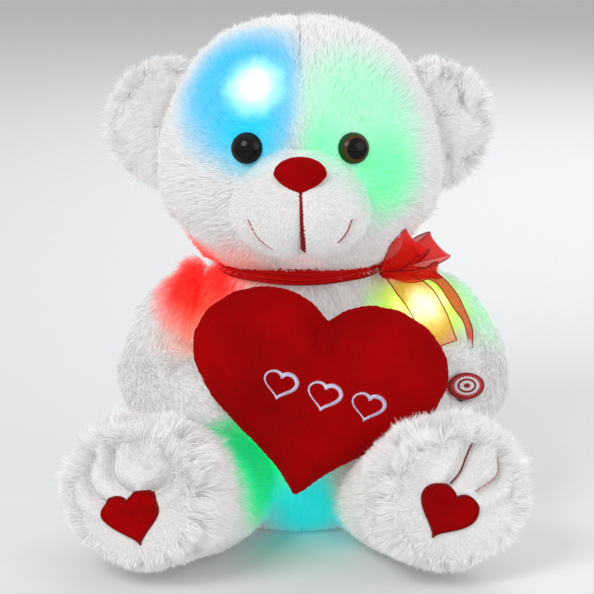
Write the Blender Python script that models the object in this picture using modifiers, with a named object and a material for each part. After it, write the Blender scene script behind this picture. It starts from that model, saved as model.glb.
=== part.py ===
# Plush bear night light that sits holding a heart cushion, in metres, +Z up, facing -Y.
# The origin is at the middle of the flat seat, on the floor. The bear's right side is at -X.
import math

import bmesh
import bpy
from mathutils import Matrix, Vector

# Gap left between two pieces that touch
SEAM_GAP = 0.0003
# How far a cutter runs past the piece that it cuts
CUT_OVERRUN = 0.004

# Torso: a stuffed bag, flat on the floor, at the neck seam and along the zip
TORSO_HALF_WIDTH = 0.062
TORSO_HALF_DEPTH = 0.052
TORSO_HALF_HEIGHT = 0.088
TORSO_CENTRE_HEIGHT = 0.060
TORSO_ROUNDNESS = 2.6
TORSO_BACK_FLAT = 0.002
TORSO_BACK = TORSO_HALF_DEPTH - TORSO_BACK_FLAT
COVER_THICKNESS = 0.002
NECK_SINK = 0.0136
NECK_HEIGHT = TORSO_CENTRE_HEIGHT + TORSO_HALF_HEIGHT - NECK_SINK
NECK_FORWARD = 0.004
NECK_WALL = 0.0085
NECK_OPENING_RADIUS = 0.014

# Head, wider at the cheeks than at the crown
HEAD_HALF_WIDTH = 0.067
HEAD_HALF_DEPTH = 0.058
HEAD_HALF_HEIGHT = 0.062
HEAD_SINK = 0.0084
HEAD_CENTRE_HEIGHT = NECK_HEIGHT + HEAD_HALF_HEIGHT - HEAD_SINK
HEAD_FORWARD = 0.008
HEAD_ROUNDNESS = 2.3
CHEEK_SHARE = 0.06
HEAD_TURN_DEG = 12
HEAD_CLEARANCE_STEPS = 2

# Ears: cupped discs sewn to the sides of the head
EAR_RADIUS = 0.029
EAR_HALF_THICKNESS = 0.008
EAR_CUP_DEPTH = 0.005
EAR_SINK = 0.003
EAR_SPREAD = HEAD_HALF_WIDTH - EAR_SINK
EAR_RISE = 0.011
EAR_HEIGHT = HEAD_CENTRE_HEIGHT + EAR_RISE
EAR_BACK = 0.002
EAR_TOE_IN_DEG = 14

# Muzzle, nose and mouth
MUZZLE_HALF_WIDTH = 0.031
MUZZLE_HALF_DEPTH = 0.030
MUZZLE_HALF_HEIGHT = 0.025
MUZZLE_DROP = 0.013
MUZZLE_HEIGHT = HEAD_CENTRE_HEIGHT - MUZZLE_DROP
MUZZLE_SINK = 0.004
MUZZLE_FORWARD = HEAD_FORWARD + HEAD_HALF_DEPTH - MUZZLE_SINK
MUZZLE_PEAR_SHARE = 0.16
NOSE_HALF_WIDTH = 0.013
NOSE_HALF_HEIGHT = 0.009
NOSE_HALF_DEPTH = 0.007
NOSE_RISE_SHARE = 0.70
MOUTH_TOP_RISE_SHARE = 0.38
MOUTH_BOTTOM_RISE_SHARE = -0.70
MOUTH_THREAD_RADIUS = 0.0011
MOUTH_STITCH_POINTS = 9

# Eyes: domes on shanks that pass through the cover into washers
EYE_SPACING = 0.0506
EYE_RISE = 0.0125
EYE_HEIGHT = HEAD_CENTRE_HEIGHT + EYE_RISE
EYE_RADIUS = 0.0075
EYE_RISE_SHARE = 0.72
EYE_SHANK_RADIUS = 0.0019
EYE_SHANK_LENGTH = 0.010
EYE_WASHER_RADIUS = 0.0075
EYE_WASHER_THICKNESS = 0.0016
EYE_DOME_STEPS = 5

# Arms: routes of x, y, z and radius, as shares of half width, half depth, neck height, arm radius
ARM_RADIUS = 0.024
ARM_RIGHT_ROUTE_SHARES = (
    (-0.81, 0.08, 0.830, 0.83),
    (-1.10, -0.04, 0.700, 0.96),
    (-1.19, -0.23, 0.565, 0.96),
    (-1.10, -0.62, 0.535, 0.88),
    (-0.91, -0.94, 0.565, 0.75),
    (-0.74, -1.12, 0.580, 0.67),
)
ARM_LEFT_ROUTE_SHARES = (
    (0.84, 0.08, 0.850, 0.83),
    (1.18, -0.04, 0.735, 1.00),
    (1.36, -0.27, 0.625, 1.04),
    (1.34, -0.62, 0.560, 1.00),
    (1.18, -0.87, 0.545, 0.88),
    (0.99, -1.06, 0.545, 0.72),
)
LIMB_FACET = 0.0096
LIMB_SMOOTHING = 3

# Legs: a stub from each hip to a big foot, which the sole cuts flat
LEG_RADIUS = 0.030
HIP_SPREAD = 0.038
HIP_FORWARD = 0.040
HIP_RADIUS = 0.027
KNEE_SPREAD = 0.050
KNEE_FORWARD = 0.070
FOOT_RADIUS = 0.035
FOOT_HEIGHT = 0.042
FOOT_RIGHT_SPREAD = 0.072
FOOT_LEFT_SPREAD = 0.068
FOOT_FORWARD = 0.099
FOOT_RIGHT_TURN_DEG = 20
FOOT_LEFT_TURN_DEG = 14
SOLE_LEAN_DEG = 8
SOLE_REACH = 0.0165
SOLE_RADIUS = 0.030
SOLE_PUFF = 0.004
LEG_SPREAD_DEG = 15
LEG_CLEARANCE_STEPS = 3
PATCH_HALF_WIDTH = 0.0155
PATCH_HALF_HEIGHT = 0.0142
PATCH_THICKNESS = 0.0008
PATCH_RIGHT_PLACE = (0.0008, -0.0070)
PATCH_RIGHT_TILT_DEG = 19
PATCH_LEFT_PLACE = (-0.0045, -0.0040)
PATCH_LEFT_TILT_DEG = -31

# Heart cushion held against the belly
HEART_HALF_WIDTH = 0.0632
HEART_HALF_HEIGHT = 0.0532
HEART_HALF_THICKNESS = 0.0195
HEART_SIDE = 0.0080
HEART_HEIGHT = 0.0885
HEART_FORWARD = TORSO_HALF_DEPTH + HEART_HALF_THICKNESS
HEART_ROLL_DEG = 10.5
HEART_LEAN_DEG = 13
HEART_WAVE_SHARES = (0.90, -0.25, -0.12, -0.05)
HEART_CROWN_SHARE = 1.35

# Embroidered motif on the cushion: a slanting row of small outlined hearts
MOTIF_COUNT = 3
MOTIF_PITCH = 0.021
MOTIF_HALF_WIDTH = 0.0075
MOTIF_HALF_HEIGHT = 0.0065
MOTIF_THREAD_RADIUS = 0.0008
MOTIF_DROP = 0.006
MOTIF_SLANT_DEG = -4
MOTIF_POINTS = 12

# Neck ribbon and its bow on the bear's left
RIBBON_RADIUS = 0.040
RIBBON_HALF_HEIGHT = 0.0048
RIBBON_HALF_THICKNESS = 0.0016
BOW_ANGLE_DEG = -20
KNOT_HALF_WIDTH = 0.0055
KNOT_HALF_HEIGHT = 0.0062
KNOT_DROP = 0.002
LOOP_HALF_LENGTH = 0.0145
LOOP_HALF_HEIGHT = 0.0085
LOOP_HALF_THICKNESS = 0.0035
# Which way each loop points: shares outward, round the neck and up
LOOP_FRONT_WAY_SHARES = (0.62, -0.42, 0.50)
LOOP_BACK_WAY_SHARES = (0.75, 0.55, 0.42)
TAIL_THICKNESS = 0.0012
TAIL_BROAD_WIDTH = 0.016
TAIL_BROAD_REACH = (0.028, -0.022, -0.036)
TAIL_NARROW_WIDTH = 0.009
TAIL_NARROW_REACH = (0.040, -0.014, -0.036)
TAIL_PINCH_SHARE = 0.35
TAIL_OFFSET_SHARE = 0.48
TAIL_ROWS = 7
TAIL_CLEARANCE = 0.0010

# Zip in the middle of the back
ZIP_LENGTH = 0.060
ZIP_BOTTOM = 0.030
TEETH_WIDTH = 0.0042
TEETH_THICKNESS = 0.0017
TOOTH_PITCH = 0.004
TOOTH_DEPTH = 0.0005
TAPE_WIDTH = 0.020
TAPE_THICKNESS = 0.0007
TAPE_MARGIN = 0.006
SLIDER_WIDTH = 0.0076
SLIDER_HEIGHT = 0.0090
SLIDER_THICKNESS = 0.0016
SLIDER_END_MARGIN = 0.002
LUG_THICKNESS = 0.0012
PIVOT_RADIUS = 0.0007
PIVOT_STAND_OFF = 0.0023
PIVOT_CLEARANCE = 0.0004
BARREL_RADIUS = 0.0019
BARREL_WIDTH = 0.0034
PULL_LENGTH = 0.014
PULL_WIDTH = 0.0055
PULL_THICKNESS = 0.0011

# Battery box in the stuffing, open towards the zip, with three cells side by side
CELL_RADIUS = 0.00525
CELL_LENGTH = 0.0445
CELL_TIP_RADIUS = 0.0019
CELL_TIP_LENGTH = 0.0010
CELL_SPACING = 0.0008
CELL_COUNT = 3
BOX_WALL = 0.0018
BOX_CLEARANCE = 0.0004
BOX_BOTTOM = 0.030
BOX_SETBACK = 0.0265
BOX_FRONT = TORSO_BACK - BOX_SETBACK
LID_THICKNESS = 0.0020
LID_TRAVEL = 0.0065
CONTACT_THICKNESS = 0.0006
CONTACT_SPRING_LENGTH = 0.0040
CONTACT_SPRING_RADIUS = 0.0036
CONTACT_SPRING_TIP_RADIUS = 0.0018
CONTACT_WIRE_RADIUS = 0.0004
CONTACT_TURNS = 2
SCREW_HEAD_RADIUS = 0.0024
SCREW_HEAD_THICKNESS = 0.0009
SCREW_RADIUS = 0.0011
SCREW_LENGTH = 0.0038
SCREW_POST_RADIUS = 0.0026
SLOT_WIDTH = 0.0006
SLOT_DEPTH = 0.0005
POCKET_CLEARANCE = 0.0003

# Controller board behind the battery box, with its timer chip
BOARD_WIDTH = 0.030
BOARD_HEIGHT = 0.034
BOARD_THICKNESS = 0.0014
BOARD_STAND_OFF = 0.0003
CHIP_SIDE = 0.008
CHIP_THICKNESS = 0.0018
BOARD_POCKET_DEPTH = 0.0060

# Lamps: 5 mm LEDs in sleeves, set into the stuffing under the cover
LED_RADIUS = 0.0025
LED_FLANGE_RADIUS = 0.0030
LED_FLANGE_THICKNESS = 0.0010
LED_LENGTH = 0.0078
LED_SLEEVE_RADIUS = 0.0024
LED_SLEEVE_LENGTH = 0.0070
LED_SETBACK = 0.0009
LED_CLEARANCE = 0.0003
LED_DOME_STEPS = 4
LEAD_RADIUS = 0.0011
TRUNK_RADIUS = 0.0018
LEAD_CLEARANCE = 0.0004
LEAD_STEP = 0.008

# Where each lamp shines: name, colour, and its place from the bag's centre as shares of its half
# width and half height
HEAD_LAMP_SHARES = (
    ("led_blue", (0.30, 0.60, 1.0, 1.0), -0.27, 0.606),
    ("led_cheek_green", (0.30, 1.0, 0.50, 1.0), 0.69, 0.152),
)
TORSO_LAMP_SHARES = (
    ("led_red", (1.0, 0.15, 0.10, 1.0), -0.66, 0.670),
    ("led_yellow", (1.0, 0.90, 0.40, 1.0), 0.63, 0.636),
    ("led_belly_green", (0.30, 1.0, 0.50, 1.0), -0.355, -0.285),
    ("led_belly_cyan", (0.30, 0.90, 1.0, 1.0), 0.18, -0.430),
)

# Press switch in the left forearm, under an oval badge
BADGE_ROUTE_POINT = 3
BADGE_INWARD = 0.0024
BADGE_RISE = 0.0072
BADGE_HALF_WIDTH = 0.0100
BADGE_HALF_HEIGHT = 0.0066
BADGE_THICKNESS = 0.0016
BADGE_PROUD = 0.0012
BADGE_CLEARANCE = 0.0006
PRESS_TRAVEL = 0.0020
PLUNGER_RADIUS = 0.0064
PLUNGER_THICKNESS = 0.0012
STEM_RADIUS = 0.0020
STEM_CLEARANCE = 0.0005
STEM_OVERLAP = 0.0028
SPRING_LENGTH = 0.0057
SPRING_RADIUS = 0.0042
SPRING_WIRE_RADIUS = 0.0004
SPRING_TURNS = 3
HOUSING_RADIUS = 0.0070
HOUSING_HEIGHT = 0.0068
HOUSING_FLOOR = 0.0010
SWITCH_CLEARANCE = 0.0003

SPRING_POINTS_A_TURN = 8
ROUND_SEGMENTS = 16
SMALL_SEGMENTS = 8
RIBBON_SEGMENTS = 32

PLUSH_WHITE = (0.86, 0.87, 0.88, 1.0)
VELVET_RED = (0.55, 0.01, 0.015, 1.0)
THREAD_RED = (0.42, 0.01, 0.02, 1.0)
LAVENDER = (0.62, 0.50, 0.82, 1.0)

RIGHT = -1
LEFT = 1


def material(name, colour, roughness, metallic=0.0):
    """One Principled material for one piece."""
    made = bpy.data.materials.new(name)
    made.use_nodes = True
    shader = made.node_tree.nodes["Principled BSDF"]
    shader.inputs["Base Color"].default_value = colour
    shader.inputs["Roughness"].default_value = roughness
    shader.inputs["Metallic"].default_value = metallic
    made.diffuse_color = colour
    return made


def clear_scene():
    for obj in list(bpy.data.objects):
        bpy.data.objects.remove(obj)


def new_collection(name):
    made = bpy.data.collections.new(name)
    bpy.context.scene.collection.children.link(made)
    return made


clear_scene()
PARTS = new_collection("plush_bear_night_light")
CUTTERS = new_collection("cutters")


def add_object(name, mesh, collection=None):
    obj = bpy.data.objects.new(name, mesh)
    (collection or PARTS).objects.link(obj)
    return obj


def object_from(bm, name, collection=None):
    """An object made from a bmesh, with its faces turned outward."""
    bmesh.ops.recalc_face_normals(bm, faces=bm.faces)
    mesh = bpy.data.meshes.new(name)
    bm.to_mesh(mesh)
    bm.free()
    return add_object(name, mesh, collection)


def evaluated_mesh(obj):
    graph = bpy.context.evaluated_depsgraph_get()
    return bpy.data.meshes.new_from_object(obj.evaluated_get(graph))


def baked(obj):
    """The same object with its modifiers, or its curve, turned into a plain welded mesh."""
    mesh = evaluated_mesh(obj)
    name = obj.name
    matrix = obj.matrix_world.copy()
    collection = obj.users_collection[0]
    bpy.data.objects.remove(obj)
    bm = bmesh.new()
    bm.from_mesh(mesh)
    bmesh.ops.remove_doubles(bm, verts=bm.verts, dist=SEAM_GAP / ROUND_SEGMENTS)
    bmesh.ops.recalc_face_normals(bm, faces=bm.faces)
    bm.to_mesh(mesh)
    bm.free()
    made = add_object(name, mesh, collection)
    made.matrix_world = matrix
    return made


def as_cutter(obj):
    """Marks an object as a cutter, which isn't part of the model."""
    for collection in list(obj.users_collection):
        collection.objects.unlink(obj)
    CUTTERS.objects.link(obj)
    obj.hide_render = True
    obj.display_type = "WIRE"
    return obj


def cut(obj, cutter, operation="DIFFERENCE"):
    modifier = obj.modifiers.new(cutter.name, "BOOLEAN")
    modifier.operation = operation
    modifier.object = cutter
    modifier.solver = "EXACT"


def carve(obj, cutter):
    """Cuts obj with cutter for good, and clears the slivers that the cut leaves."""
    cut(obj, cutter)
    bpy.context.view_layer.update()
    mesh = evaluated_mesh(obj)
    obj.modifiers.clear()
    bm = bmesh.new()
    bm.from_mesh(mesh)
    sliver = SEAM_GAP / ROUND_SEGMENTS
    bmesh.ops.remove_doubles(bm, verts=bm.verts, dist=sliver)
    bmesh.ops.dissolve_degenerate(bm, dist=sliver, edges=bm.edges)
    bmesh.ops.triangulate(bm, faces=bm.faces)
    bm.to_mesh(mesh)
    bm.free()
    obj.data = mesh


def finish_piece(obj, finish, angle_deg=40):
    obj.data.materials.clear()
    obj.data.materials.append(finish)
    obj.data.shade_smooth()
    obj.data.set_sharp_from_angle(angle=math.radians(angle_deg))
    return obj


def unit_ball(levels):
    """A cube smoothed and cast into a ball of radius 1."""
    bm = bmesh.new()
    bmesh.ops.create_cube(bm, size=2)
    obj = object_from(bm, "unit_ball")
    smooth = obj.modifiers.new("smooth", "SUBSURF")
    smooth.levels = levels
    smooth.render_levels = levels
    round_off = obj.modifiers.new("round_off", "CAST")
    round_off.factor = 1
    bpy.context.view_layer.update()
    mesh = evaluated_mesh(obj)
    bpy.data.objects.remove(obj)
    for vertex in mesh.vertices:
        vertex.co.normalize()
    return mesh


def stuffed_form(name, shape, levels=3, collection=None):
    """A stuffed shape: each point of the unit ball goes where shape puts it."""
    bm = bmesh.new()
    bm.from_mesh(unit_ball(levels))
    for vertex in bm.verts:
        vertex.co = shape(vertex.co.copy())
    # The faces aren't flat once they are shaped, so they are split before any cut
    bmesh.ops.triangulate(bm, faces=bm.faces)
    return object_from(bm, name, collection)


def round_share(height_share, roundness):
    """Radius share of a bag at a share of its half height."""
    return max(0.0, 1 - abs(height_share) ** roundness) ** (1 / roundness)


def bag_point(unit, centre, halves, roundness):
    """A point of a rounded bag whose level sections are ellipses."""
    level = math.hypot(unit.x, unit.y)
    ring = round_share(unit.z, roundness) / level if level > 0 else 0.0
    return Vector((
        centre.x + unit.x * ring * halves.x,
        centre.y + unit.y * ring * halves.y,
        centre.z + unit.z * halves.z,
    ))


def torso_shape(grow=0.0, top=NECK_HEIGHT):
    """The torso's outer form, moved out by grow."""
    halves = Vector((TORSO_HALF_WIDTH + grow, TORSO_HALF_DEPTH + grow, TORSO_HALF_HEIGHT + grow))
    centre = Vector((0, 0, TORSO_CENTRE_HEIGHT))

    def shape(unit):
        place = bag_point(unit, centre, halves, TORSO_ROUNDNESS)
        place.z = min(max(place.z, -grow), top)
        place.y = min(place.y, TORSO_BACK + grow)
        return place

    return shape


def head_shape(grow=0.0, bottom=None):
    """The head's outer form, moved out by grow and flat at the neck seam if bottom is given."""
    halves = Vector((HEAD_HALF_WIDTH + grow, HEAD_HALF_DEPTH + grow, HEAD_HALF_HEIGHT + grow))
    centre = Vector((0, -HEAD_FORWARD, HEAD_CENTRE_HEIGHT))

    def shape(unit):
        cheek = 1 - CHEEK_SHARE * math.sin(unit.z * math.pi / 2)
        wide = Vector((halves.x * cheek, halves.y * cheek, halves.z))
        place = bag_point(unit, centre, wide, HEAD_ROUNDNESS)
        if bottom is not None:
            place.z = max(place.z, bottom)
        return place

    return shape


def heart_outline(angle, half_width, half_height):
    """Point of a heart's outline, where angle 0 is the notch and pi is the tip."""
    first, second, third, fourth = HEART_WAVE_SHARES
    rise = (
        first * math.cos(angle)
        + second * math.cos(2 * angle)
        + third * math.cos(3 * angle)
        + fourth * math.cos(4 * angle)
    )
    return half_width * math.sin(angle) ** 3, half_height * rise


def heart_matrix():
    """Where the cushion lies: its own z is its front."""
    roll = Matrix.Rotation(math.radians(-HEART_ROLL_DEG), 4, "Z")
    stand = Matrix.Rotation(math.radians(90 - HEART_LEAN_DEG), 4, "X")
    place = Vector((HEART_SIDE, -HEART_FORWARD, HEART_HEIGHT))
    return Matrix.Translation(place) @ stand @ roll


def heart_shape(grow=0.0):
    """The cushion's form: a heart outline with a crown that falls to the seam."""
    matrix = heart_matrix()

    def shape(unit):
        angle = math.atan2(unit.x, unit.y)
        across, up = heart_outline(angle, HEART_HALF_WIDTH + grow, HEART_HALF_HEIGHT + grow)
        reach = math.hypot(unit.x, unit.y)
        crown = math.copysign(abs(unit.z) ** HEART_CROWN_SHARE, unit.z)
        return matrix @ Vector((across * reach, up * reach, crown * (HEART_HALF_THICKNESS + grow)))

    return shape


def ball_shape(matrix, halves, grow=0.0):
    """An ellipsoid in the frame of matrix."""

    def shape(unit):
        return matrix @ Vector(
            (unit.x * (halves[0] + grow), unit.y * (halves[1] + grow), unit.z * (halves[2] + grow))
        )

    return shape


def hit_from_front(obj, across, height):
    """Place and outward direction where a level line from the front meets a form."""
    start = Vector((across, -HEAD_CENTRE_HEIGHT * 2, height))
    found, place, normal, _ = obj.ray_cast(start, Vector((0, 1, 0)))
    assert found, f"no surface of {obj.name} in front of {across}, {height}"
    return place, normal


def frame_at(place, normal):
    """A matrix at place whose own z is normal and whose own x is level."""
    z_axis = normal.normalized()
    x_axis = Vector((0, 0, 1)).cross(z_axis).normalized()
    y_axis = z_axis.cross(x_axis)
    turned = Matrix((x_axis, y_axis, z_axis)).transposed()
    return Matrix.Translation(place) @ turned.to_4x4()


def cylinder(name, radius, low, high, matrix=None, segments=ROUND_SEGMENTS, collection=None):
    """A closed cylinder along its own z from low to high."""
    bm = bmesh.new()
    middle = Matrix.Translation(Vector((0, 0, (low + high) / 2)))
    bmesh.ops.create_cone(
        bm, cap_ends=True, segments=segments, radius1=radius, radius2=radius,
        depth=high - low, matrix=middle,
    )
    obj = object_from(bm, name, collection)
    obj.matrix_world = matrix or Matrix.Identity(4)
    return obj


def box(name, low, high, collection=None):
    """A closed box between two corners."""
    low = Vector(low)
    high = Vector(high)
    bm = bmesh.new()
    size = high - low
    scale = Matrix.Diagonal((size.x, size.y, size.z, 1))
    bmesh.ops.create_cube(bm, size=1, matrix=Matrix.Translation((low + high) / 2) @ scale)
    return object_from(bm, name, collection)


def turned(name, profile, matrix, segments=ROUND_SEGMENTS):
    """A turned shape about its own z, from a profile of (radius, height) run top to bottom."""
    bm = bmesh.new()
    points = [bm.verts.new((radius, 0, height)) for radius, height in profile]
    for first, second in zip(points, points[1:]):
        bm.edges.new((first, second))
    mesh = bpy.data.meshes.new(name)
    bm.to_mesh(mesh)
    bm.free()
    obj = add_object(name, mesh)
    screw = obj.modifiers.new("turn", "SCREW")
    screw.steps = segments
    screw.render_steps = segments
    screw.use_merge_vertices = True
    screw.merge_threshold = SEAM_GAP / ROUND_SEGMENTS
    bpy.context.view_layer.update()
    made = baked(obj)
    made.matrix_world = matrix
    return made


def tube(name, points, radius, sides_step=2, cyclic=False, collection=None):
    """A round tube along points."""
    curve = bpy.data.curves.new(name, "CURVE")
    curve.dimensions = "3D"
    curve.bevel_depth = radius
    curve.bevel_resolution = sides_step
    curve.use_fill_caps = not cyclic
    spline = curve.splines.new("POLY")
    spline.points.add(len(points) - 1)
    for target, place in zip(spline.points, points):
        target.co = (*place, 1)
    spline.use_cyclic_u = cyclic
    obj = bpy.data.objects.new(name, curve)
    (collection or PARTS).objects.link(obj)
    bpy.context.view_layer.update()
    return baked(obj)


def smooth_route(route, count):
    """Points read from a smooth curve through the route's own points."""
    points = [Vector(place) for place in route]
    ends = [points[0] * 2 - points[1]] + points + [points[-1] * 2 - points[-2]]
    made = []
    for step in range(count):
        along = step / (count - 1) * (len(points) - 1)
        index = min(int(along), len(points) - 2)
        t = along - index
        before, first, second, after = ends[index : index + 4]
        made.append(
            (
                first * 2
                + (second - before) * t
                + (before * 2 - first * 5 + second * 4 - after) * t**2
                + (after - second * 3 + first * 3 - before) * t**3
            ) / 2
        )
    return made


def limb(name, route, planes=()):
    """A stuffed limb along a route of (place, radius), cut flat at planes of (place, outward)."""
    bm = bmesh.new()
    for (first, first_radius), (second, second_radius) in zip(route, route[1:]):
        hull = []
        for place, radius in ((first, first_radius), (second, second_radius)):
            ball = bmesh.ops.create_uvsphere(
                bm, u_segments=SMALL_SEGMENTS * 2, v_segments=SMALL_SEGMENTS, radius=radius,
                matrix=Matrix.Translation(place),
            )
            hull += ball["verts"]
        made = bmesh.ops.convex_hull(bm, input=hull)
        inner = [item for item in made["geom_interior"] if isinstance(item, bmesh.types.BMVert)]
        bmesh.ops.delete(bm, geom=inner, context="VERTS")
    obj = object_from(bm, name)
    skin = obj.modifiers.new("skin", "REMESH")
    skin.mode = "VOXEL"
    skin.voxel_size = LIMB_FACET
    smooth = obj.modifiers.new("smooth", "SMOOTH")
    smooth.iterations = LIMB_SMOOTHING
    bpy.context.view_layer.update()
    mesh = evaluated_mesh(obj)
    bpy.data.objects.remove(obj)
    bm = bmesh.new()
    bm.from_mesh(mesh)
    for place, outward in planes:
        cut_flat = bmesh.ops.bisect_plane(
            bm, geom=bm.verts[:] + bm.edges[:] + bm.faces[:], plane_co=place, plane_no=outward,
            clear_outer=True,
        )
        rim = [item for item in cut_flat["geom_cut"] if isinstance(item, bmesh.types.BMEdge)]
        bmesh.ops.contextual_create(bm, geom=rim)
    bmesh.ops.triangulate(bm, faces=bm.faces)
    return object_from(bm, name)


def copy_turned(source, name, matrix):
    """A cutter copy of a form, moved by matrix."""
    mesh = source.data.copy()
    mesh.transform(matrix)
    return as_cutter(add_object(name, mesh))


def about_axis(place, degrees):
    """The turn by degrees about the vertical line through place."""
    turn = Matrix.Rotation(math.radians(degrees), 4, "Z")
    return Matrix.Translation(place) @ turn @ Matrix.Translation(-place)


def hang(pieces, name, place):
    """Parents moving pieces to an empty on their joint's axis."""
    pivot = bpy.data.objects.new(name, None)
    pivot.location = place
    PARTS.objects.link(pivot)
    bpy.context.view_layer.update()
    for piece in pieces:
        piece.parent = pivot
        piece.matrix_parent_inverse = pivot.matrix_world.inverted()


def build_torso():
    """Cover with its neck opening, and the stuffing inside it."""
    cover = stuffed_form("torso_cover", torso_shape())
    inner_top = NECK_HEIGHT - NECK_WALL
    hollow = as_cutter(stuffed_form("torso_hollow", torso_shape(-COVER_THICKNESS, inner_top), 2))
    filling_grow = -COVER_THICKNESS - SEAM_GAP
    filling = stuffed_form("torso_filling", torso_shape(filling_grow, inner_top - SEAM_GAP), 2)
    axis = Matrix.Translation(Vector((0, -NECK_FORWARD, 0)))
    opening = as_cutter(
        cylinder("neck_opening", NECK_OPENING_RADIUS, inner_top - CUT_OVERRUN,
                 NECK_HEIGHT + CUT_OVERRUN, axis)
    )
    cut(cover, hollow)
    cut(cover, opening)
    finish_piece(cover, material("torso_plush", PLUSH_WHITE, 0.95))
    finish_piece(filling, material("torso_fibre", (0.93, 0.93, 0.92, 1.0), 1.0))
    return cover, filling


def build_head():
    """Cover with its neck opening, and the stuffing inside it."""
    bottom = NECK_HEIGHT + SEAM_GAP
    inner_bottom = bottom + NECK_WALL
    cover = stuffed_form("head_cover", head_shape(0.0, bottom))
    hollow = as_cutter(stuffed_form("head_hollow", head_shape(-COVER_THICKNESS, inner_bottom), 2))
    filling_grow = -COVER_THICKNESS - SEAM_GAP
    filling = stuffed_form("head_filling", head_shape(filling_grow, inner_bottom + SEAM_GAP), 2)
    axis = Matrix.Translation(Vector((0, -NECK_FORWARD, 0)))
    opening = as_cutter(
        cylinder("head_opening", NECK_OPENING_RADIUS, bottom - CUT_OVERRUN,
                 inner_bottom + CUT_OVERRUN, axis)
    )
    cut(cover, hollow)
    cut(cover, opening)
    finish_piece(cover, material("head_plush", PLUSH_WHITE, 0.95))
    finish_piece(filling, material("head_fibre", (0.93, 0.93, 0.92, 1.0), 1.0))
    return cover, filling


def build_ear(side, name, head_cutter):
    """A cupped disc whose root the head cuts off."""
    place = Vector((side * EAR_SPREAD, EAR_BACK, EAR_HEIGHT))
    matrix = Matrix.Translation(place) @ Matrix.Rotation(math.radians(side * EAR_TOE_IN_DEG), 4, "Z")

    def shape(unit):
        reach = math.hypot(unit.x, unit.z)
        depth = unit.y * EAR_HALF_THICKNESS
        if unit.y < 0:
            depth += EAR_CUP_DEPTH * (1 - reach**2)
        return matrix @ Vector((unit.x * EAR_RADIUS, depth, unit.z * EAR_RADIUS))

    ear = stuffed_form(name, shape)
    cut(ear, head_cutter)
    return finish_piece(ear, material(name + "_plush", PLUSH_WHITE, 0.95))


def build_face(head_cutter):
    """Muzzle, nose and mouth stitch."""
    centre = Vector((0, -MUZZLE_FORWARD, MUZZLE_HEIGHT))

    def muzzle_shape(grow):
        def shape(unit):
            pear = 1 - MUZZLE_PEAR_SHARE * unit.z
            return centre + Vector((
                unit.x * (MUZZLE_HALF_WIDTH * pear + grow),
                unit.y * (MUZZLE_HALF_DEPTH + grow),
                unit.z * (MUZZLE_HALF_HEIGHT + grow),
            ))

        return shape

    muzzle = stuffed_form("muzzle", muzzle_shape(0.0))
    muzzle_form = as_cutter(stuffed_form("muzzle_form", muzzle_shape(SEAM_GAP)))
    bpy.context.view_layer.update()
    cut(muzzle, head_cutter)
    finish_piece(muzzle, material("muzzle_velour", PLUSH_WHITE, 0.85))

    seat, _ = hit_from_front(muzzle_form, 0, MUZZLE_HEIGHT + NOSE_RISE_SHARE * MUZZLE_HALF_HEIGHT)
    nose_halves = (NOSE_HALF_WIDTH, NOSE_HALF_DEPTH, NOSE_HALF_HEIGHT)
    nose = stuffed_form("nose", ball_shape(Matrix.Translation(seat), nose_halves), 2)
    cut(nose, muzzle_form)
    finish_piece(nose, material("nose_velvet", VELVET_RED, 0.8))

    points = []
    for step in range(MOUTH_STITCH_POINTS):
        share = step / (MOUTH_STITCH_POINTS - 1)
        rise_share = MOUTH_TOP_RISE_SHARE + (MOUTH_BOTTOM_RISE_SHARE - MOUTH_TOP_RISE_SHARE) * share
        place, normal = hit_from_front(muzzle_form, 0, MUZZLE_HEIGHT + rise_share * MUZZLE_HALF_HEIGHT)
        points.append(place + normal * (MOUTH_THREAD_RADIUS + SEAM_GAP))
    mouth = tube("mouth_stitch", points, MOUTH_THREAD_RADIUS)
    nose_form = stuffed_form("nose_form", ball_shape(Matrix.Translation(seat), nose_halves, SEAM_GAP), 2)
    cut(mouth, as_cutter(nose_form))
    finish_piece(mouth, material("mouth_thread", THREAD_RED, 0.6))
    return [muzzle, nose, mouth]


def build_eye(side, name, head_cover, head_filling, head_form):
    """A dome on a shank through the cover, and its washer inside."""
    place, normal = hit_from_front(head_form, side * EYE_SPACING / 2, EYE_HEIGHT)
    matrix = frame_at(place, normal)
    rise = EYE_RADIUS * EYE_RISE_SHARE
    base = SEAM_GAP
    profile = [(0, base + rise)]
    for step in range(1, EYE_DOME_STEPS + 1):
        angle = math.pi / 2 * step / EYE_DOME_STEPS
        profile.append((EYE_RADIUS * math.sin(angle), base + rise * math.cos(angle)))
    profile += [(EYE_SHANK_RADIUS, base), (EYE_SHANK_RADIUS, -EYE_SHANK_LENGTH), (0, -EYE_SHANK_LENGTH)]
    eye = turned(name, profile, matrix)
    inner = -COVER_THICKNESS - SEAM_GAP
    hole = EYE_SHANK_RADIUS + SEAM_GAP
    washer_profile = [
        (hole, inner), (EYE_WASHER_RADIUS, inner), (EYE_WASHER_RADIUS, inner - EYE_WASHER_THICKNESS),
        (hole, inner - EYE_WASHER_THICKNESS), (hole, inner),
    ]
    washer = turned("eye_washer_" + name.split("_")[1], washer_profile, matrix)
    finish_piece(eye, material(name + "_gloss", (0.045, 0.014, 0.006, 1.0), 0.08))
    finish_piece(washer, material(name + "_washer", (0.88, 0.88, 0.86, 1.0), 0.4))
    shank_hole = as_cutter(
        cylinder(name + "_hole", hole, -COVER_THICKNESS - CUT_OVERRUN, CUT_OVERRUN, matrix, SMALL_SEGMENTS)
    )
    carve(head_cover, shank_hole)
    pocket = as_cutter(
        cylinder(name + "_pocket", EYE_WASHER_RADIUS + SEAM_GAP, -EYE_SHANK_LENGTH - SEAM_GAP,
                 -COVER_THICKNESS, matrix)
    )
    carve(head_cover, pocket)
    carve(head_filling, pocket)
    return [eye, washer]


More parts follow.
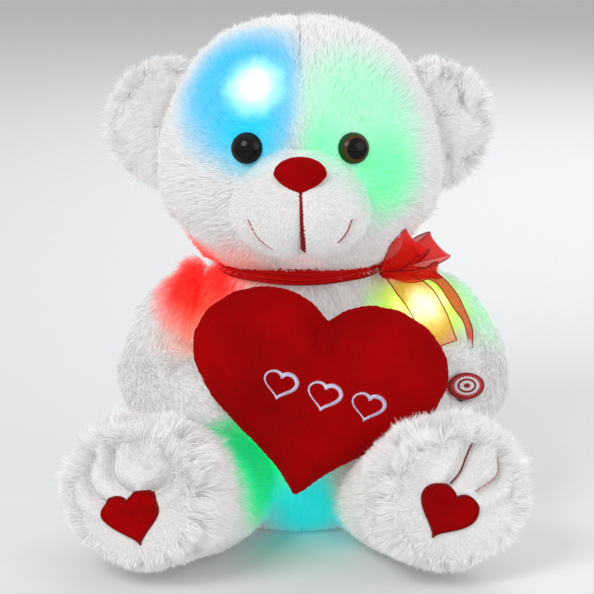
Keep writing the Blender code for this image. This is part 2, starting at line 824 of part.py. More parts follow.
def arm_route(shares):
    return [
        (
            Vector((x * TORSO_HALF_WIDTH, y * TORSO_HALF_DEPTH, z * NECK_HEIGHT)),
            radius * ARM_RADIUS,
        )
        for x, y, z, radius in shares
    ]


def arm_form(name, shares):
    """A cutter with the arm's form, a little larger."""
    grown = [(place, radius + TAIL_CLEARANCE) for place, radius in arm_route(shares)]
    return as_cutter(limb(name + "_form", grown))


def build_arm(name, shares, torso_cutter, heart_cutter):
    """A stuffed arm sewn at the shoulder, its hand against the cushion."""
    arm = limb(name, arm_route(shares))
    cut(arm, torso_cutter)
    cut(arm, heart_cutter)
    return finish_piece(arm, material(name + "_plush", PLUSH_WHITE, 0.95))


def build_leg(side, name, spread, turn_deg, patch_place, tilt_deg, neighbours):
    """A stuffed leg with its sole pad and heart patch, clear of its neighbours while it spreads."""
    hip = Vector((side * HIP_SPREAD, -HIP_FORWARD, HIP_RADIUS))
    knee = Vector((side * KNEE_SPREAD, -KNEE_FORWARD, LEG_RADIUS))
    foot = Vector((side * spread, -FOOT_FORWARD, FOOT_HEIGHT))
    turn = math.radians(turn_deg)
    lean = math.radians(SOLE_LEAN_DEG)
    outward = Vector((
        side * math.sin(turn) * math.cos(lean), -math.cos(turn) * math.cos(lean), math.sin(lean),
    ))
    sole = foot + outward * SOLE_REACH
    floor = (Vector((0, 0, 0)), Vector((0, 0, -1)))
    leg = limb(name, [(hip, HIP_RADIUS), (knee, LEG_RADIUS), (foot, FOOT_RADIUS)], [(sole, outward), floor])
    for step in range(LEG_CLEARANCE_STEPS + 1):
        turned_by = side * -LEG_SPREAD_DEG * step / LEG_CLEARANCE_STEPS
        matrix = about_axis(hip, turned_by)
        for larger in neighbours:
            cut(leg, copy_turned(larger, f"{name}_{larger.name}_{step}", matrix))
    finish_piece(leg, material(name + "_plush", PLUSH_WHITE, 0.95))

    matrix = frame_at(sole + outward * SEAM_GAP, outward)
    plane = as_cutter(cylinder(name + "_sole_plane", FOOT_RADIUS, -FOOT_RADIUS, 0, matrix))
    pad_halves = (SOLE_RADIUS, SOLE_RADIUS, SOLE_PUFF)
    side_name = name.split("_")[1]
    pad = stuffed_form("sole_pad_" + side_name, ball_shape(matrix, pad_halves), 2)
    pad_form = as_cutter(stuffed_form(name + "_pad_form", ball_shape(matrix, pad_halves, SEAM_GAP), 2))
    cut(pad, plane)
    finish_piece(pad, material(pad.name + "_velour", PLUSH_WHITE, 0.85))
    patch_matrix = matrix @ Matrix.Translation(Vector((*patch_place, 0)))
    patch_matrix = patch_matrix @ Matrix.Rotation(math.radians(tilt_deg), 4, "Z")
    patch = heart_plate("sole_heart_" + side_name, patch_matrix, SOLE_PUFF)
    skin = SEAM_GAP + PATCH_THICKNESS
    cut(patch, as_cutter(stuffed_form(name + "_patch_skin", ball_shape(matrix, pad_halves, skin), 2)), "INTERSECT")
    cut(patch, pad_form)
    finish_piece(patch, material(patch.name + "_velvet", VELVET_RED, 0.8))
    hang([leg, pad, patch], name + "_pivot", hip)
    return leg


def heart_plate(name, matrix, rise):
    """A thick flat heart reaching a patch's thickness over rise, in the frame of matrix."""
    curve = bpy.data.curves.new(name, "CURVE")
    curve.dimensions = "2D"
    curve.fill_mode = "BOTH"
    curve.extrude = (PATCH_THICKNESS + rise) / 2
    spline = curve.splines.new("POLY")
    spline.points.add(RIBBON_SEGMENTS - 1)
    for index, target in enumerate(spline.points):
        angle = -2 * math.pi * index / RIBBON_SEGMENTS
        across, up = heart_outline(angle, PATCH_HALF_WIDTH, PATCH_HALF_HEIGHT)
        target.co = (across, up, (PATCH_THICKNESS + rise) / 2, 1)
    spline.use_cyclic_u = True
    obj = bpy.data.objects.new(name, curve)
    PARTS.objects.link(obj)
    bpy.context.view_layer.update()
    made = baked(obj)
    made.matrix_world = matrix @ Matrix.Translation(Vector((0, 0, (PATCH_THICKNESS + rise) / 2)))
    return made


def build_heart(torso_cutter):
    """The heart cushion, pressed flat where it meets the belly, and its embroidered motif."""
    cushion = stuffed_form("heart_cushion", heart_shape())
    cushion_form = as_cutter(stuffed_form("heart_form", heart_shape(SEAM_GAP)))
    bpy.context.view_layer.update()
    cut(cushion, torso_cutter)
    finish_piece(cushion, material("cushion_velvet", VELVET_RED, 0.8))
    matrix = heart_matrix()
    front = (matrix.to_3x3() @ Vector((0, 0, 1))).normalized()
    slant = Matrix.Rotation(math.radians(MOTIF_SLANT_DEG), 4, "Z")
    for number in range(MOTIF_COUNT):
        offset = (number - (MOTIF_COUNT - 1) / 2) * MOTIF_PITCH
        points = []
        for index in range(MOTIF_POINTS):
            angle = 2 * math.pi * index / MOTIF_POINTS
            across, up = heart_outline(angle, MOTIF_HALF_WIDTH, MOTIF_HALF_HEIGHT)
            local = slant @ Vector((across + offset, up - MOTIF_DROP, HEART_HALF_THICKNESS * 2))
            found, place, normal, _ = cushion_form.ray_cast(matrix @ local, -front)
            assert found, "the motif lies off the cushion"
            points.append(place + front * (MOTIF_THREAD_RADIUS + SEAM_GAP))
        motif = tube(f"heart_motif_{number + 1}", points, MOTIF_THREAD_RADIUS, 1, True)
        finish_piece(motif, material(f"motif_thread_{number + 1}", LAVENDER, 0.5))
    return cushion_form


def build_ribbon(head_cutters, others, arm):
    """The ribbon round the neck seam, and a bow of a knot, two loops and two tails."""
    axis = Vector((0, -NECK_FORWARD, NECK_HEIGHT))
    low = -RIBBON_HALF_HEIGHT
    high = RIBBON_HALF_HEIGHT
    inner = RIBBON_RADIUS - RIBBON_HALF_THICKNESS
    outer = RIBBON_RADIUS + RIBBON_HALF_THICKNESS

    def band(name, grow):
        profile = [
            (inner - grow, high + grow), (outer + grow, high + grow), (outer + grow, low - grow),
            (inner - grow, low - grow), (inner - grow, high + grow),
        ]
        return turned(name, profile, Matrix.Translation(axis), RIBBON_SEGMENTS)

    ribbon = band("neck_ribbon", 0.0)
    groove = as_cutter(band("ribbon_groove", SEAM_GAP))
    finish_piece(ribbon, material("ribbon_satin", VELVET_RED, 0.35))

    angle = math.radians(BOW_ANGLE_DEG)
    out = Vector((math.cos(angle), math.sin(angle), 0))
    side = Vector((-math.sin(angle), math.cos(angle), 0))
    knot_place = axis + out * (outer + KNOT_HALF_WIDTH) + Vector((0, 0, -KNOT_DROP))
    knot_matrix = Matrix.Translation(knot_place)
    knot_halves = (KNOT_HALF_WIDTH, KNOT_HALF_WIDTH, KNOT_HALF_HEIGHT)
    knot = stuffed_form("bow_knot", ball_shape(knot_matrix, knot_halves), 2)
    knot_form = as_cutter(stuffed_form("knot_form", ball_shape(knot_matrix, knot_halves, SEAM_GAP), 2))
    pieces = [knot]
    bow = (("bow_loop_front", LOOP_FRONT_WAY_SHARES), ("bow_loop_back", LOOP_BACK_WAY_SHARES))
    for name, (out_share, side_share, up_share) in bow:
        along = (out * out_share + side * side_share + Vector((0, 0, up_share))).normalized()
        turned_frame = frame_at(knot_place + along * (LOOP_HALF_LENGTH + KNOT_HALF_WIDTH), along)
        halves = (LOOP_HALF_THICKNESS, LOOP_HALF_HEIGHT, LOOP_HALF_LENGTH)
        loop = stuffed_form(name, ball_shape(turned_frame, halves), 2)
        cut(loop, knot_form)
        pieces.append(loop)
    tails = (
        ("bow_tail_broad", TAIL_BROAD_WIDTH, Vector(TAIL_BROAD_REACH), 1),
        ("bow_tail_narrow", TAIL_NARROW_WIDTH, Vector(TAIL_NARROW_REACH), -1),
    )
    for name, width, reach, turn in tails:
        tail = ribbon_tail(name, knot_place, width, reach, turn, arm)
        cut(tail, knot_form)
        pieces.append(tail)
    cut(knot, groove)
    for piece in pieces:
        for cutter in head_cutters + others:
            cut(piece, cutter)
        finish_piece(piece, material(piece.name + "_organza", VELVET_RED, 0.4))
    return groove


def ribbon_tail(name, knot_place, width, reach, turn, arm):
    """A flat tail that runs from the knot down over the shoulder, which it lies on."""
    low = reach.normalized()
    across = low.cross(Vector((0, 0, 1))).normalized() * turn
    face = across.cross(low).normalized() * turn
    start = knot_place + low * KNOT_HALF_HEIGHT + across * (TAIL_OFFSET_SHARE * width)
    bm = bmesh.new()
    rows = []
    for step in range(TAIL_ROWS):
        share = step / (TAIL_ROWS - 1)
        middle = start + reach * share
        above = Vector((middle.x, middle.y, HEAD_CENTRE_HEIGHT))
        found, met, _, _ = arm.ray_cast(above, Vector((0, 0, -1)))
        if found:
            middle.z = max(middle.z, met.z + TAIL_CLEARANCE + TAIL_THICKNESS / 2)
        half = across * (width / 2 * (TAIL_PINCH_SHARE + (1 - TAIL_PINCH_SHARE) * share))
        thick = face * (TAIL_THICKNESS / 2)
        corners = (half - thick, -half - thick, -half + thick, half + thick)
        rows.append([bm.verts.new(middle + corner) for corner in corners])
    for first, second in zip(rows, rows[1:]):
        for index in range(4):
            after = (index + 1) % 4
            bm.faces.new((first[index], first[after], second[after], second[index]))
    bm.faces.new(rows[0][::-1])
    bm.faces.new(rows[-1])
    return object_from(bm, name)


def coil_points(radius, end_radius, low, high, turns):
    """Points of a coil from low to high about z."""
    count = turns * SPRING_POINTS_A_TURN
    made = []
    for step in range(count + 1):
        share = step / count
        angle = 2 * math.pi * turns * share
        reach = radius + (end_radius - radius) * share
        made.append(Vector((reach * math.cos(angle), reach * math.sin(angle), low + (high - low) * share)))
    return made


def build_led(name, colour, form, filling, across, height):
    """A lamp in its sleeve, in a pocket of the stuffing; returns where its lead starts and points."""
    place, normal = hit_from_front(form, across, height)
    matrix = frame_at(place - normal * LED_SETBACK, normal)
    body_low = -LED_LENGTH
    low = body_low - LED_SLEEVE_LENGTH
    profile = [(0, 0)]
    for step in range(1, LED_DOME_STEPS + 1):
        angle = math.pi / 2 * step / LED_DOME_STEPS
        profile.append((LED_RADIUS * math.sin(angle), -LED_RADIUS * (1 - math.cos(angle))))
    profile += [
        (LED_RADIUS, body_low + LED_FLANGE_THICKNESS),
        (LED_FLANGE_RADIUS, body_low + LED_FLANGE_THICKNESS),
        (LED_FLANGE_RADIUS, body_low),
        (LED_SLEEVE_RADIUS, body_low),
        (LED_SLEEVE_RADIUS, low),
        (0, low),
    ]
    led = turned(name, profile, matrix, SMALL_SEGMENTS)
    finish_piece(led, material(name + "_lens", colour, 0.15))
    pocket = as_cutter(
        cylinder(name + "_pocket", LED_FLANGE_RADIUS + LED_CLEARANCE, low - LED_CLEARANCE, CUT_OVERRUN,
                 matrix, SMALL_SEGMENTS)
    )
    carve(filling, pocket)
    return matrix @ Vector((0, 0, low - SEAM_GAP)), -normal


def lead(name, route, radius, cut_pieces):
    """A lead along a route, with its channel through the pieces that it crosses."""
    inner = route[1:-1]
    reach = sum((second - first).length for first, second in zip(inner, inner[1:]))
    points = [route[0]] + smooth_route(inner, max(2, round(reach / LEAD_STEP) + 1)) + [route[-1]]
    run_on = (points[-1] - points[-2]).normalized() * CUT_OVERRUN
    run_back = (points[0] - points[1]).normalized() * CUT_OVERRUN
    channel_points = [points[0] + run_back] + points + [points[-1] + run_on]
    channel = as_cutter(tube(name + "_channel", channel_points, radius + LEAD_CLEARANCE, 1))
    for piece in cut_pieces:
        carve(piece, channel)
    return tube(name, points, radius, 1)


def from_board(across, height):
    """Where a lead leaves the front of the controller board, and its next point."""
    face = BOX_FRONT - SEAM_GAP - BOARD_THICKNESS - SEAM_GAP
    start = Vector((across, face, height))
    return start, start - Vector((0, BOARD_POCKET_DEPTH, 0))


def join(piece, other):
    """Makes another solid part of piece."""
    cut(piece, as_cutter(other), "UNION")


def build_lamps(table, form, filling, half_width, half_height, centre_height):
    """The lamps of one bag; returns where each one's lead starts, and its direction."""
    ends = {}
    for name, colour, across_share, rise_share in table:
        across = across_share * half_width
        height = centre_height + rise_share * half_height
        ends[name] = build_led(name, colour, form, filling, across, height)
    return ends


def branch(name, start, end, radius, cut_pieces):
    """A lead from inside another one to a lamp's end."""
    place, direction = end
    middle = (start + place + direction * LED_SLEEVE_LENGTH * 2) / 2
    return lead(name, [start, middle, place + direction * LED_SLEEVE_LENGTH, place], radius, cut_pieces)


def build_leads(torso_filling, torso_ends, head_filling, head_ends, box_top):
    """The wiring: a trunk to the neck with two branches, a head lead, a belly lead, a battery lead."""
    finish = material("lead_sheath", (0.75, 0.75, 0.73, 1.0), 0.5)
    board_middle = BOX_BOTTOM + CELL_LENGTH / 2
    neck = Vector((0, -NECK_FORWARD, NECK_HEIGHT))
    start, run = from_board(0, board_middle + BOARD_HEIGHT / 4)
    under_neck = neck - Vector((0, 0, NECK_WALL * 2))
    trunk = lead("lead_trunk", [start, run, (run + under_neck) / 2, under_neck, neck],
                 TRUNK_RADIUS, [torso_filling])
    for name in ("led_red", "led_yellow"):
        join(trunk, branch(name + "_lead", under_neck, torso_ends[name], LEAD_RADIUS, [torso_filling]))

    above_neck = neck + Vector((0, 0, SEAM_GAP))
    split = neck + Vector((0, 0, HEAD_HALF_HEIGHT / 2))
    blue_place, blue_way = head_ends["led_blue"]
    head_lead = lead("lead_head", [above_neck, split, blue_place + blue_way * LED_SLEEVE_LENGTH, blue_place],
                     TRUNK_RADIUS, [head_filling])
    join(head_lead, branch("led_cheek_lead", split, head_ends["led_cheek_green"], LEAD_RADIUS, [head_filling]))

    start, run = from_board(-BOARD_WIDTH / 4, board_middle - BOARD_HEIGHT / 4)
    green_place, green_way = torso_ends["led_belly_green"]
    belly = lead("lead_belly", [start, run, green_place + green_way * LED_SLEEVE_LENGTH, green_place],
                 TRUNK_RADIUS, [torso_filling])
    join(belly, branch("led_cyan_lead", run, torso_ends["led_belly_cyan"], LEAD_RADIUS, [torso_filling]))

    start, run = from_board(-BOARD_WIDTH * 3 / 8, board_middle + BOARD_HEIGHT * 3 / 8)
    top = Vector((start.x, BOX_FRONT + CELL_RADIUS, box_top + SEAM_GAP))
    over = Vector((0, 0, BOARD_POCKET_DEPTH))
    battery = lead("lead_battery", [start, run, Vector((start.x, run.y, top.z)) + over / 2, top + over, top],
                   LEAD_RADIUS, [torso_filling])
    for piece in (trunk, head_lead, belly, battery):
        finish_piece(piece, finish.copy())
    return head_lead


def build_battery(torso_filling, torso_cover):
    """Battery box with its cells, contacts, lid and screw, in a pocket of the stuffing."""
    pitch = 2 * CELL_RADIUS + CELL_SPACING
    inner_half = pitch * (CELL_COUNT - 1) / 2 + CELL_RADIUS + BOX_CLEARANCE
    half = inner_half + BOX_WALL
    floor = BOX_FRONT + BOX_WALL
    rim = floor + 2 * (CELL_RADIUS + BOX_CLEARANCE)
    inner_low = BOX_BOTTOM + BOX_WALL
    strip_top = inner_low + SEAM_GAP + CONTACT_THICKNESS
    cell_low = strip_top + CONTACT_SPRING_LENGTH + SEAM_GAP
    cell_top = cell_low + CELL_LENGTH
    plate_low = cell_top + CELL_TIP_LENGTH + SEAM_GAP
    inner_high = plate_low + CONTACT_THICKNESS + SEAM_GAP
    post = inner_high + BOX_WALL + SCREW_POST_RADIUS
    top = post + SCREW_POST_RADIUS
    middle = floor + CELL_RADIUS + BOX_CLEARANCE

    case = box("battery_box", (-half, BOX_FRONT, BOX_BOTTOM), (half, rim, top))
    cells_space = box("cells_space", (-inner_half, floor, inner_low), (inner_half, rim + CUT_OVERRUN, inner_high))
    cut(case, as_cutter(cells_space))
    post_matrix = frame_at(Vector((0, rim, post)), Vector((0, 1, 0)))
    hole_radius = SCREW_RADIUS + SEAM_GAP
    screw_hole = cylinder("screw_hole", hole_radius, -SCREW_LENGTH, CUT_OVERRUN, post_matrix, SMALL_SEGMENTS)
    cut(case, as_cutter(screw_hole))
    finish_piece(case, material("box_plastic", (0.05, 0.05, 0.05, 1.0), 0.45))

    lid_low = rim + SEAM_GAP
    lid_high = lid_low + LID_THICKNESS
    lid = box("battery_lid", (-half, lid_low, BOX_BOTTOM), (half, lid_high, top))
    lid_matrix = frame_at(Vector((0, lid_high, post)), Vector((0, 1, 0)))
    through = cylinder("lid_hole", hole_radius, -LID_THICKNESS - CUT_OVERRUN, CUT_OVERRUN, lid_matrix,
                       SMALL_SEGMENTS)
    sink = SCREW_HEAD_THICKNESS + SEAM_GAP
    bore = cylinder("lid_counterbore", SCREW_HEAD_RADIUS + SEAM_GAP, -sink, CUT_OVERRUN, lid_matrix)
    cut(lid, as_cutter(through))
    cut(lid, as_cutter(bore))
    finish_piece(lid, material("lid_plastic", (0.06, 0.06, 0.06, 1.0), 0.45))

    profile = [
        (0, 0), (SCREW_HEAD_RADIUS, 0), (SCREW_HEAD_RADIUS, -SCREW_HEAD_THICKNESS),
        (SCREW_RADIUS, -SCREW_HEAD_THICKNESS), (SCREW_RADIUS, -SCREW_LENGTH), (0, -SCREW_LENGTH),
    ]
    screw = turned("lid_screw", profile, lid_matrix)
    for number in range(2):
        slot = box(
            f"screw_slot_{number}",
            (-SCREW_HEAD_RADIUS * 2 / 3, -SLOT_WIDTH / 2, -SLOT_DEPTH),
            (SCREW_HEAD_RADIUS * 2 / 3, SLOT_WIDTH / 2, CUT_OVERRUN),
        )
        slot.matrix_world = lid_matrix @ Matrix.Rotation(math.pi / 2 * number, 4, "Z")
        cut(screw, as_cutter(slot))
    finish_piece(screw, material("screw_steel", (0.7, 0.7, 0.72, 1.0), 0.3, 1.0))
    hang([lid, screw], "lid_pivot", lid_matrix.translation)

    for number in range(CELL_COUNT):
        across = (number - (CELL_COUNT - 1) / 2) * pitch
        tip = CELL_LENGTH + CELL_TIP_LENGTH
        profile = [
            (0, tip), (CELL_TIP_RADIUS, tip), (CELL_TIP_RADIUS, CELL_LENGTH), (CELL_RADIUS, CELL_LENGTH),
            (CELL_RADIUS, 0), (0, 0),
        ]
        place = Matrix.Translation(Vector((across, middle, cell_low)))
        cell = turned(f"battery_cell_{number + 1}", profile, place)
        finish_piece(cell, material(f"cell_jacket_{number + 1}", (0.12, 0.2, 0.35, 1.0), 0.35, 0.6))

    side = BOX_CLEARANCE / 2
    strip = box("contact_springs", (-inner_half + side, middle - CONTACT_SPRING_RADIUS, inner_low + SEAM_GAP),
                (inner_half - side, middle + CONTACT_SPRING_RADIUS, strip_top))
    for number in range(CELL_COUNT):
        across = (number - (CELL_COUNT - 1) / 2) * pitch
        low = strip_top - CONTACT_WIRE_RADIUS / 2
        high = cell_low - SEAM_GAP - CONTACT_WIRE_RADIUS
        points = coil_points(CONTACT_SPRING_RADIUS - CONTACT_WIRE_RADIUS * 2, CONTACT_SPRING_TIP_RADIUS,
                             low, high, CONTACT_TURNS)
        shift = Vector((across, middle, 0))
        join(strip, tube(f"coil_{number}", [point + shift for point in points], CONTACT_WIRE_RADIUS, 0))
    finish_piece(strip, material("contact_steel", (0.75, 0.75, 0.72, 1.0), 0.25, 1.0))
    plate = box("contact_plate", (-inner_half + side, middle - CONTACT_SPRING_RADIUS, plate_low),
                (inner_half - side, middle + CONTACT_SPRING_RADIUS, plate_low + CONTACT_THICKNESS))
    finish_piece(plate, material("plate_steel", (0.75, 0.75, 0.72, 1.0), 0.25, 1.0))

    clear = POCKET_CLEARANCE
    pocket = box("battery_pocket", (-half - clear, BOX_FRONT - clear, BOX_BOTTOM - clear),
                 (half + clear, TORSO_BACK + CUT_OVERRUN, top + clear))
    carve(torso_filling, as_cutter(pocket))
    # The cover's lining is trimmed flat where the lid lifts towards it
    lid_space = box("lid_space", (-half - clear, BOX_FRONT - clear, BOX_BOTTOM - clear),
                    (half + clear, TORSO_BACK - 2 * COVER_THICKNESS, top + clear))
    carve(torso_cover, as_cutter(lid_space))
    board_middle = BOX_BOTTOM + CELL_LENGTH / 2
    board_high = BOX_FRONT - BOARD_STAND_OFF
    board_low = board_high - BOARD_THICKNESS
    board = box("controller_board", (-BOARD_WIDTH / 2, board_low, board_middle - BOARD_HEIGHT / 2),
                (BOARD_WIDTH / 2, board_high, board_middle + BOARD_HEIGHT / 2))
    finish_piece(board, material("board_laminate", (0.02, 0.16, 0.07, 1.0), 0.5))
    chip_high = board_low - BOARD_STAND_OFF
    chip_side = BOARD_WIDTH / 4
    chip = box("timer_chip", (chip_side - CHIP_SIDE / 2, chip_high - CHIP_THICKNESS, board_middle - CHIP_SIDE),
               (chip_side + CHIP_SIDE / 2, chip_high, board_middle))
    finish_piece(chip, material("chip_epoxy", (0.02, 0.02, 0.02, 1.0), 0.4))
    board_pocket = box(
        "board_pocket",
        (-BOARD_WIDTH / 2 - clear, board_low - BOARD_POCKET_DEPTH, board_middle - BOARD_HEIGHT / 2 - clear),
        (BOARD_WIDTH / 2 + clear, BOX_FRONT + CUT_OVERRUN, board_middle + BOARD_HEIGHT / 2 + clear),
    )
    carve(torso_filling, as_cutter(board_pocket))
    return top


def teeth_profile(low, high, inner, outer):
    """Side outline of the closed teeth, as (height, depth) points with a groove between teeth."""
    points = [(low, inner), (low, outer)]
    count = int((high - low) / TOOTH_PITCH)
    pitch = (high - low) / count
    for number in range(1, count):
        middle = low + pitch * number
        points += [
            (middle - pitch / 4, outer), (middle - pitch / 8, outer - TOOTH_DEPTH),
            (middle + pitch / 8, outer - TOOTH_DEPTH), (middle + pitch / 4, outer),
        ]
    points += [(high, outer), (high, inner)]
    return points


def prism(name, outline, half_width, matrix):
    """A flat outline extruded by half_width to each side of its plane."""
    curve = bpy.data.curves.new(name, "CURVE")
    curve.dimensions = "2D"
    curve.fill_mode = "BOTH"
    curve.extrude = half_width
    spline = curve.splines.new("POLY")
    spline.points.add(len(outline) - 1)
    for target, (first, second) in zip(spline.points, outline):
        target.co = (first, second, 0, 1)
    spline.use_cyclic_u = True
    obj = bpy.data.objects.new(name, curve)
    PARTS.objects.link(obj)
    bpy.context.view_layer.update()
    made = baked(obj)
    made.matrix_world = matrix
    return made


def build_zip(torso_cover, torso_filling):
    """Tape inside the cover, teeth in its slot, and a slider with a hinged pull."""
    high = ZIP_BOTTOM + ZIP_LENGTH
    tape_high = TORSO_BACK - COVER_THICKNESS - SEAM_GAP
    tape_low = tape_high - TAPE_THICKNESS
    tape = box("zip_tape", (-TAPE_WIDTH / 2, tape_low, ZIP_BOTTOM - TAPE_MARGIN),
               (TAPE_WIDTH / 2, tape_high, high + TAPE_MARGIN))
    finish_piece(tape, material("zip_cloth", (0.85, 0.85, 0.85, 1.0), 0.9))
    gap = SEAM_GAP
    tape_space = box("tape_space", (-TAPE_WIDTH / 2 - gap, tape_low - gap, ZIP_BOTTOM - TAPE_MARGIN - gap),
                     (TAPE_WIDTH / 2 + gap, TORSO_BACK + CUT_OVERRUN, high + TAPE_MARGIN + gap))
    carve(torso_filling, as_cutter(tape_space))
    lining = box("tape_lining", (-TAPE_WIDTH / 2 - gap, tape_low - gap, ZIP_BOTTOM - TAPE_MARGIN - gap),
                 (TAPE_WIDTH / 2 + gap, tape_high + gap, high + TAPE_MARGIN + gap))
    carve(torso_cover, as_cutter(lining))
    slot = box("zip_slot", (-TEETH_WIDTH / 2 - gap, tape_high - CUT_OVERRUN, ZIP_BOTTOM - gap),
               (TEETH_WIDTH / 2 + gap, TORSO_BACK + CUT_OVERRUN, high + gap))
    carve(torso_cover, as_cutter(slot))
    # The outline's own x runs up the back and its own y runs outward
    upright = Matrix(((0, 0, 1, 0), (0, 1, 0, 0), (-1, 0, 0, 0), (0, 0, 0, 1)))
    teeth_low = tape_high + SEAM_GAP
    outline = [(-z, y) for z, y in teeth_profile(ZIP_BOTTOM, high, teeth_low, teeth_low + TEETH_THICKNESS)]
    teeth = prism("zip_teeth", outline, TEETH_WIDTH / 2, upright)
    finish_piece(teeth, material("zip_nylon", (0.9, 0.9, 0.9, 1.0), 0.4))

    rest = high - SLIDER_END_MARGIN - SLIDER_HEIGHT / 2
    plate_low = TORSO_BACK + SEAM_GAP
    plate_high = plate_low + SLIDER_THICKNESS
    slider = box("zip_slider", (-SLIDER_WIDTH / 2, plate_low, rest - SLIDER_HEIGHT / 2),
                 (SLIDER_WIDTH / 2, plate_high, rest + SLIDER_HEIGHT / 2))
    pivot = Vector((0, plate_high + PIVOT_STAND_OFF, rest + SLIDER_HEIGHT / 4))
    lug_inner = BARREL_WIDTH / 2 + PIVOT_CLEARANCE
    lug_outer = lug_inner + LUG_THICKNESS
    for side in (RIGHT, LEFT):
        ends = sorted((side * lug_inner, side * lug_outer))
        lug = box(f"lug_{side}", (ends[0], plate_high - SLIDER_THICKNESS / 2, pivot.z - PIVOT_RADIUS * 2),
                  (ends[1], pivot.y + PIVOT_RADIUS * 2, pivot.z + PIVOT_RADIUS * 2))
        join(slider, lug)
    across = frame_at(pivot, Vector((1, 0, 0)))
    pin = cylinder("pull_pin", PIVOT_RADIUS, -lug_inner - LUG_THICKNESS / 2, lug_inner + LUG_THICKNESS / 2,
                   across, SMALL_SEGMENTS)
    join(slider, pin)
    finish_piece(slider, material("slider_zinc", (0.72, 0.72, 0.74, 1.0), 0.3, 1.0))

    pull = cylinder("zip_pull", BARREL_RADIUS, -BARREL_WIDTH / 2, BARREL_WIDTH / 2, across)
    blade = box("pull_blade", (-PULL_WIDTH / 2, pivot.y - PULL_THICKNESS / 2, pivot.z - PULL_LENGTH),
                (PULL_WIDTH / 2, pivot.y + PULL_THICKNESS / 2, pivot.z - SLIDER_HEIGHT / 4 - BARREL_RADIUS))
    neck = box("pull_neck", (-BARREL_WIDTH / 3, pivot.y - PULL_THICKNESS / 2 + gap / 3, pivot.z - PULL_LENGTH / 2),
               (BARREL_WIDTH / 3, pivot.y + PULL_THICKNESS / 2 - gap / 3, pivot.z - PIVOT_RADIUS * 2))
    join(pull, neck)
    join(pull, blade)
    bore = cylinder("pull_bore", PIVOT_RADIUS + PIVOT_CLEARANCE, -BARREL_WIDTH, BARREL_WIDTH, across, SMALL_SEGMENTS)
    cut(pull, as_cutter(bore))
    finish_piece(pull, material("pull_zinc", (0.72, 0.72, 0.74, 1.0), 0.3, 1.0))
    hang([slider], "slider_pivot", Vector((0, plate_low, rest)))
    hang([pull], "pull_pivot", pivot)


def build_switch(arm, torso_filling, torso_cover):
    """Press switch under its badge, in a pocket of the forearm, with its lead through the shoulder."""
    forearm, _ = arm_route(ARM_LEFT_ROUTE_SHARES)[BADGE_ROUTE_POINT]
    place, normal = hit_from_front(arm, forearm.x - BADGE_INWARD, forearm.z + BADGE_RISE)
    matrix = frame_at(place, normal)
    badge_low = BADGE_PROUD - BADGE_THICKNESS
    cap_top = badge_low - SEAM_GAP
    cap_low = cap_top - PLUNGER_THICKNESS
    spring_top = cap_low - SEAM_GAP
    housing_top = spring_top - SPRING_LENGTH
    housing_low = housing_top - HOUSING_HEIGHT

    badge = oval("press_badge", BADGE_HALF_WIDTH, BADGE_HALF_HEIGHT, badge_low, BADGE_PROUD, matrix)
    finish_piece(badge, material("badge_felt", (0.75, 0.03, 0.04, 1.0), 0.8))
    stem_low = housing_top - STEM_OVERLAP
    profile = [
        (0, cap_top), (PLUNGER_RADIUS, cap_top), (PLUNGER_RADIUS, cap_low), (STEM_RADIUS, cap_low),
        (STEM_RADIUS, stem_low), (0, stem_low),
    ]
    plunger = turned("switch_plunger", profile, matrix)
    finish_piece(plunger, material("plunger_plastic", (0.9, 0.9, 0.88, 1.0), 0.4))
    coil_radius = SPRING_RADIUS - SPRING_WIRE_RADIUS
    margin = SEAM_GAP + SPRING_WIRE_RADIUS
    points = coil_points(coil_radius, coil_radius, housing_top + margin, spring_top - margin, SPRING_TURNS)
    spring = tube("switch_spring", points, SPRING_WIRE_RADIUS, 0)
    spring.matrix_world = matrix
    finish_piece(spring, material("spring_steel", (0.75, 0.75, 0.72, 1.0), 0.25, 1.0))
    bore = STEM_RADIUS + STEM_CLEARANCE
    floor = housing_low + HOUSING_FLOOR
    profile = [
        (bore, housing_top), (HOUSING_RADIUS, housing_top), (HOUSING_RADIUS, housing_low), (0, housing_low),
    ]
    housing_profile = [(0, floor), (bore, floor)] + profile
    housing = turned("switch_housing", housing_profile, matrix)
    finish_piece(housing, material("housing_plastic", (0.08, 0.08, 0.08, 1.0), 0.45))

    recess_low = badge_low - PRESS_TRAVEL - SWITCH_CLEARANCE
    recess = oval("badge_recess", BADGE_HALF_WIDTH + BADGE_CLEARANCE, BADGE_HALF_HEIGHT + BADGE_CLEARANCE,
                  recess_low, CUT_OVERRUN, matrix)
    pocket = cylinder("switch_pocket", HOUSING_RADIUS + SWITCH_CLEARANCE, housing_low - SWITCH_CLEARANCE,
                      CUT_OVERRUN / 2, matrix)
    cut(arm, as_cutter(recess))
    cut(arm, as_cutter(pocket))
    back = matrix @ Vector((0, 0, housing_low - SEAM_GAP))
    shoulder, upper_arm = [where for where, _ in arm_route(ARM_LEFT_ROUTE_SHARES)[:2]]
    start, run = from_board(BOARD_WIDTH * 3 / 8, BOX_BOTTOM + CELL_LENGTH / 2 + BOARD_HEIGHT / 4)
    route = [start, run, (run + upper_arm) / 2, upper_arm, back - normal * HOUSING_HEIGHT, back]
    wire = lead("lead_switch", route, LEAD_RADIUS, [torso_filling, torso_cover, arm])
    finish_piece(wire, material("switch_lead_sheath", (0.75, 0.75, 0.73, 1.0), 0.5))
    hang([badge, plunger], "press_pivot", place)


def oval(name, half_width, half_height, low, high, matrix):
    """A flat oval plate along its own z from low to high."""
    obj = cylinder(name, 1, low, high, matrix, ROUND_SEGMENTS + SMALL_SEGMENTS)
    obj.data.transform(Matrix.Diagonal((half_width, half_height, 1, 1)))
    return obj


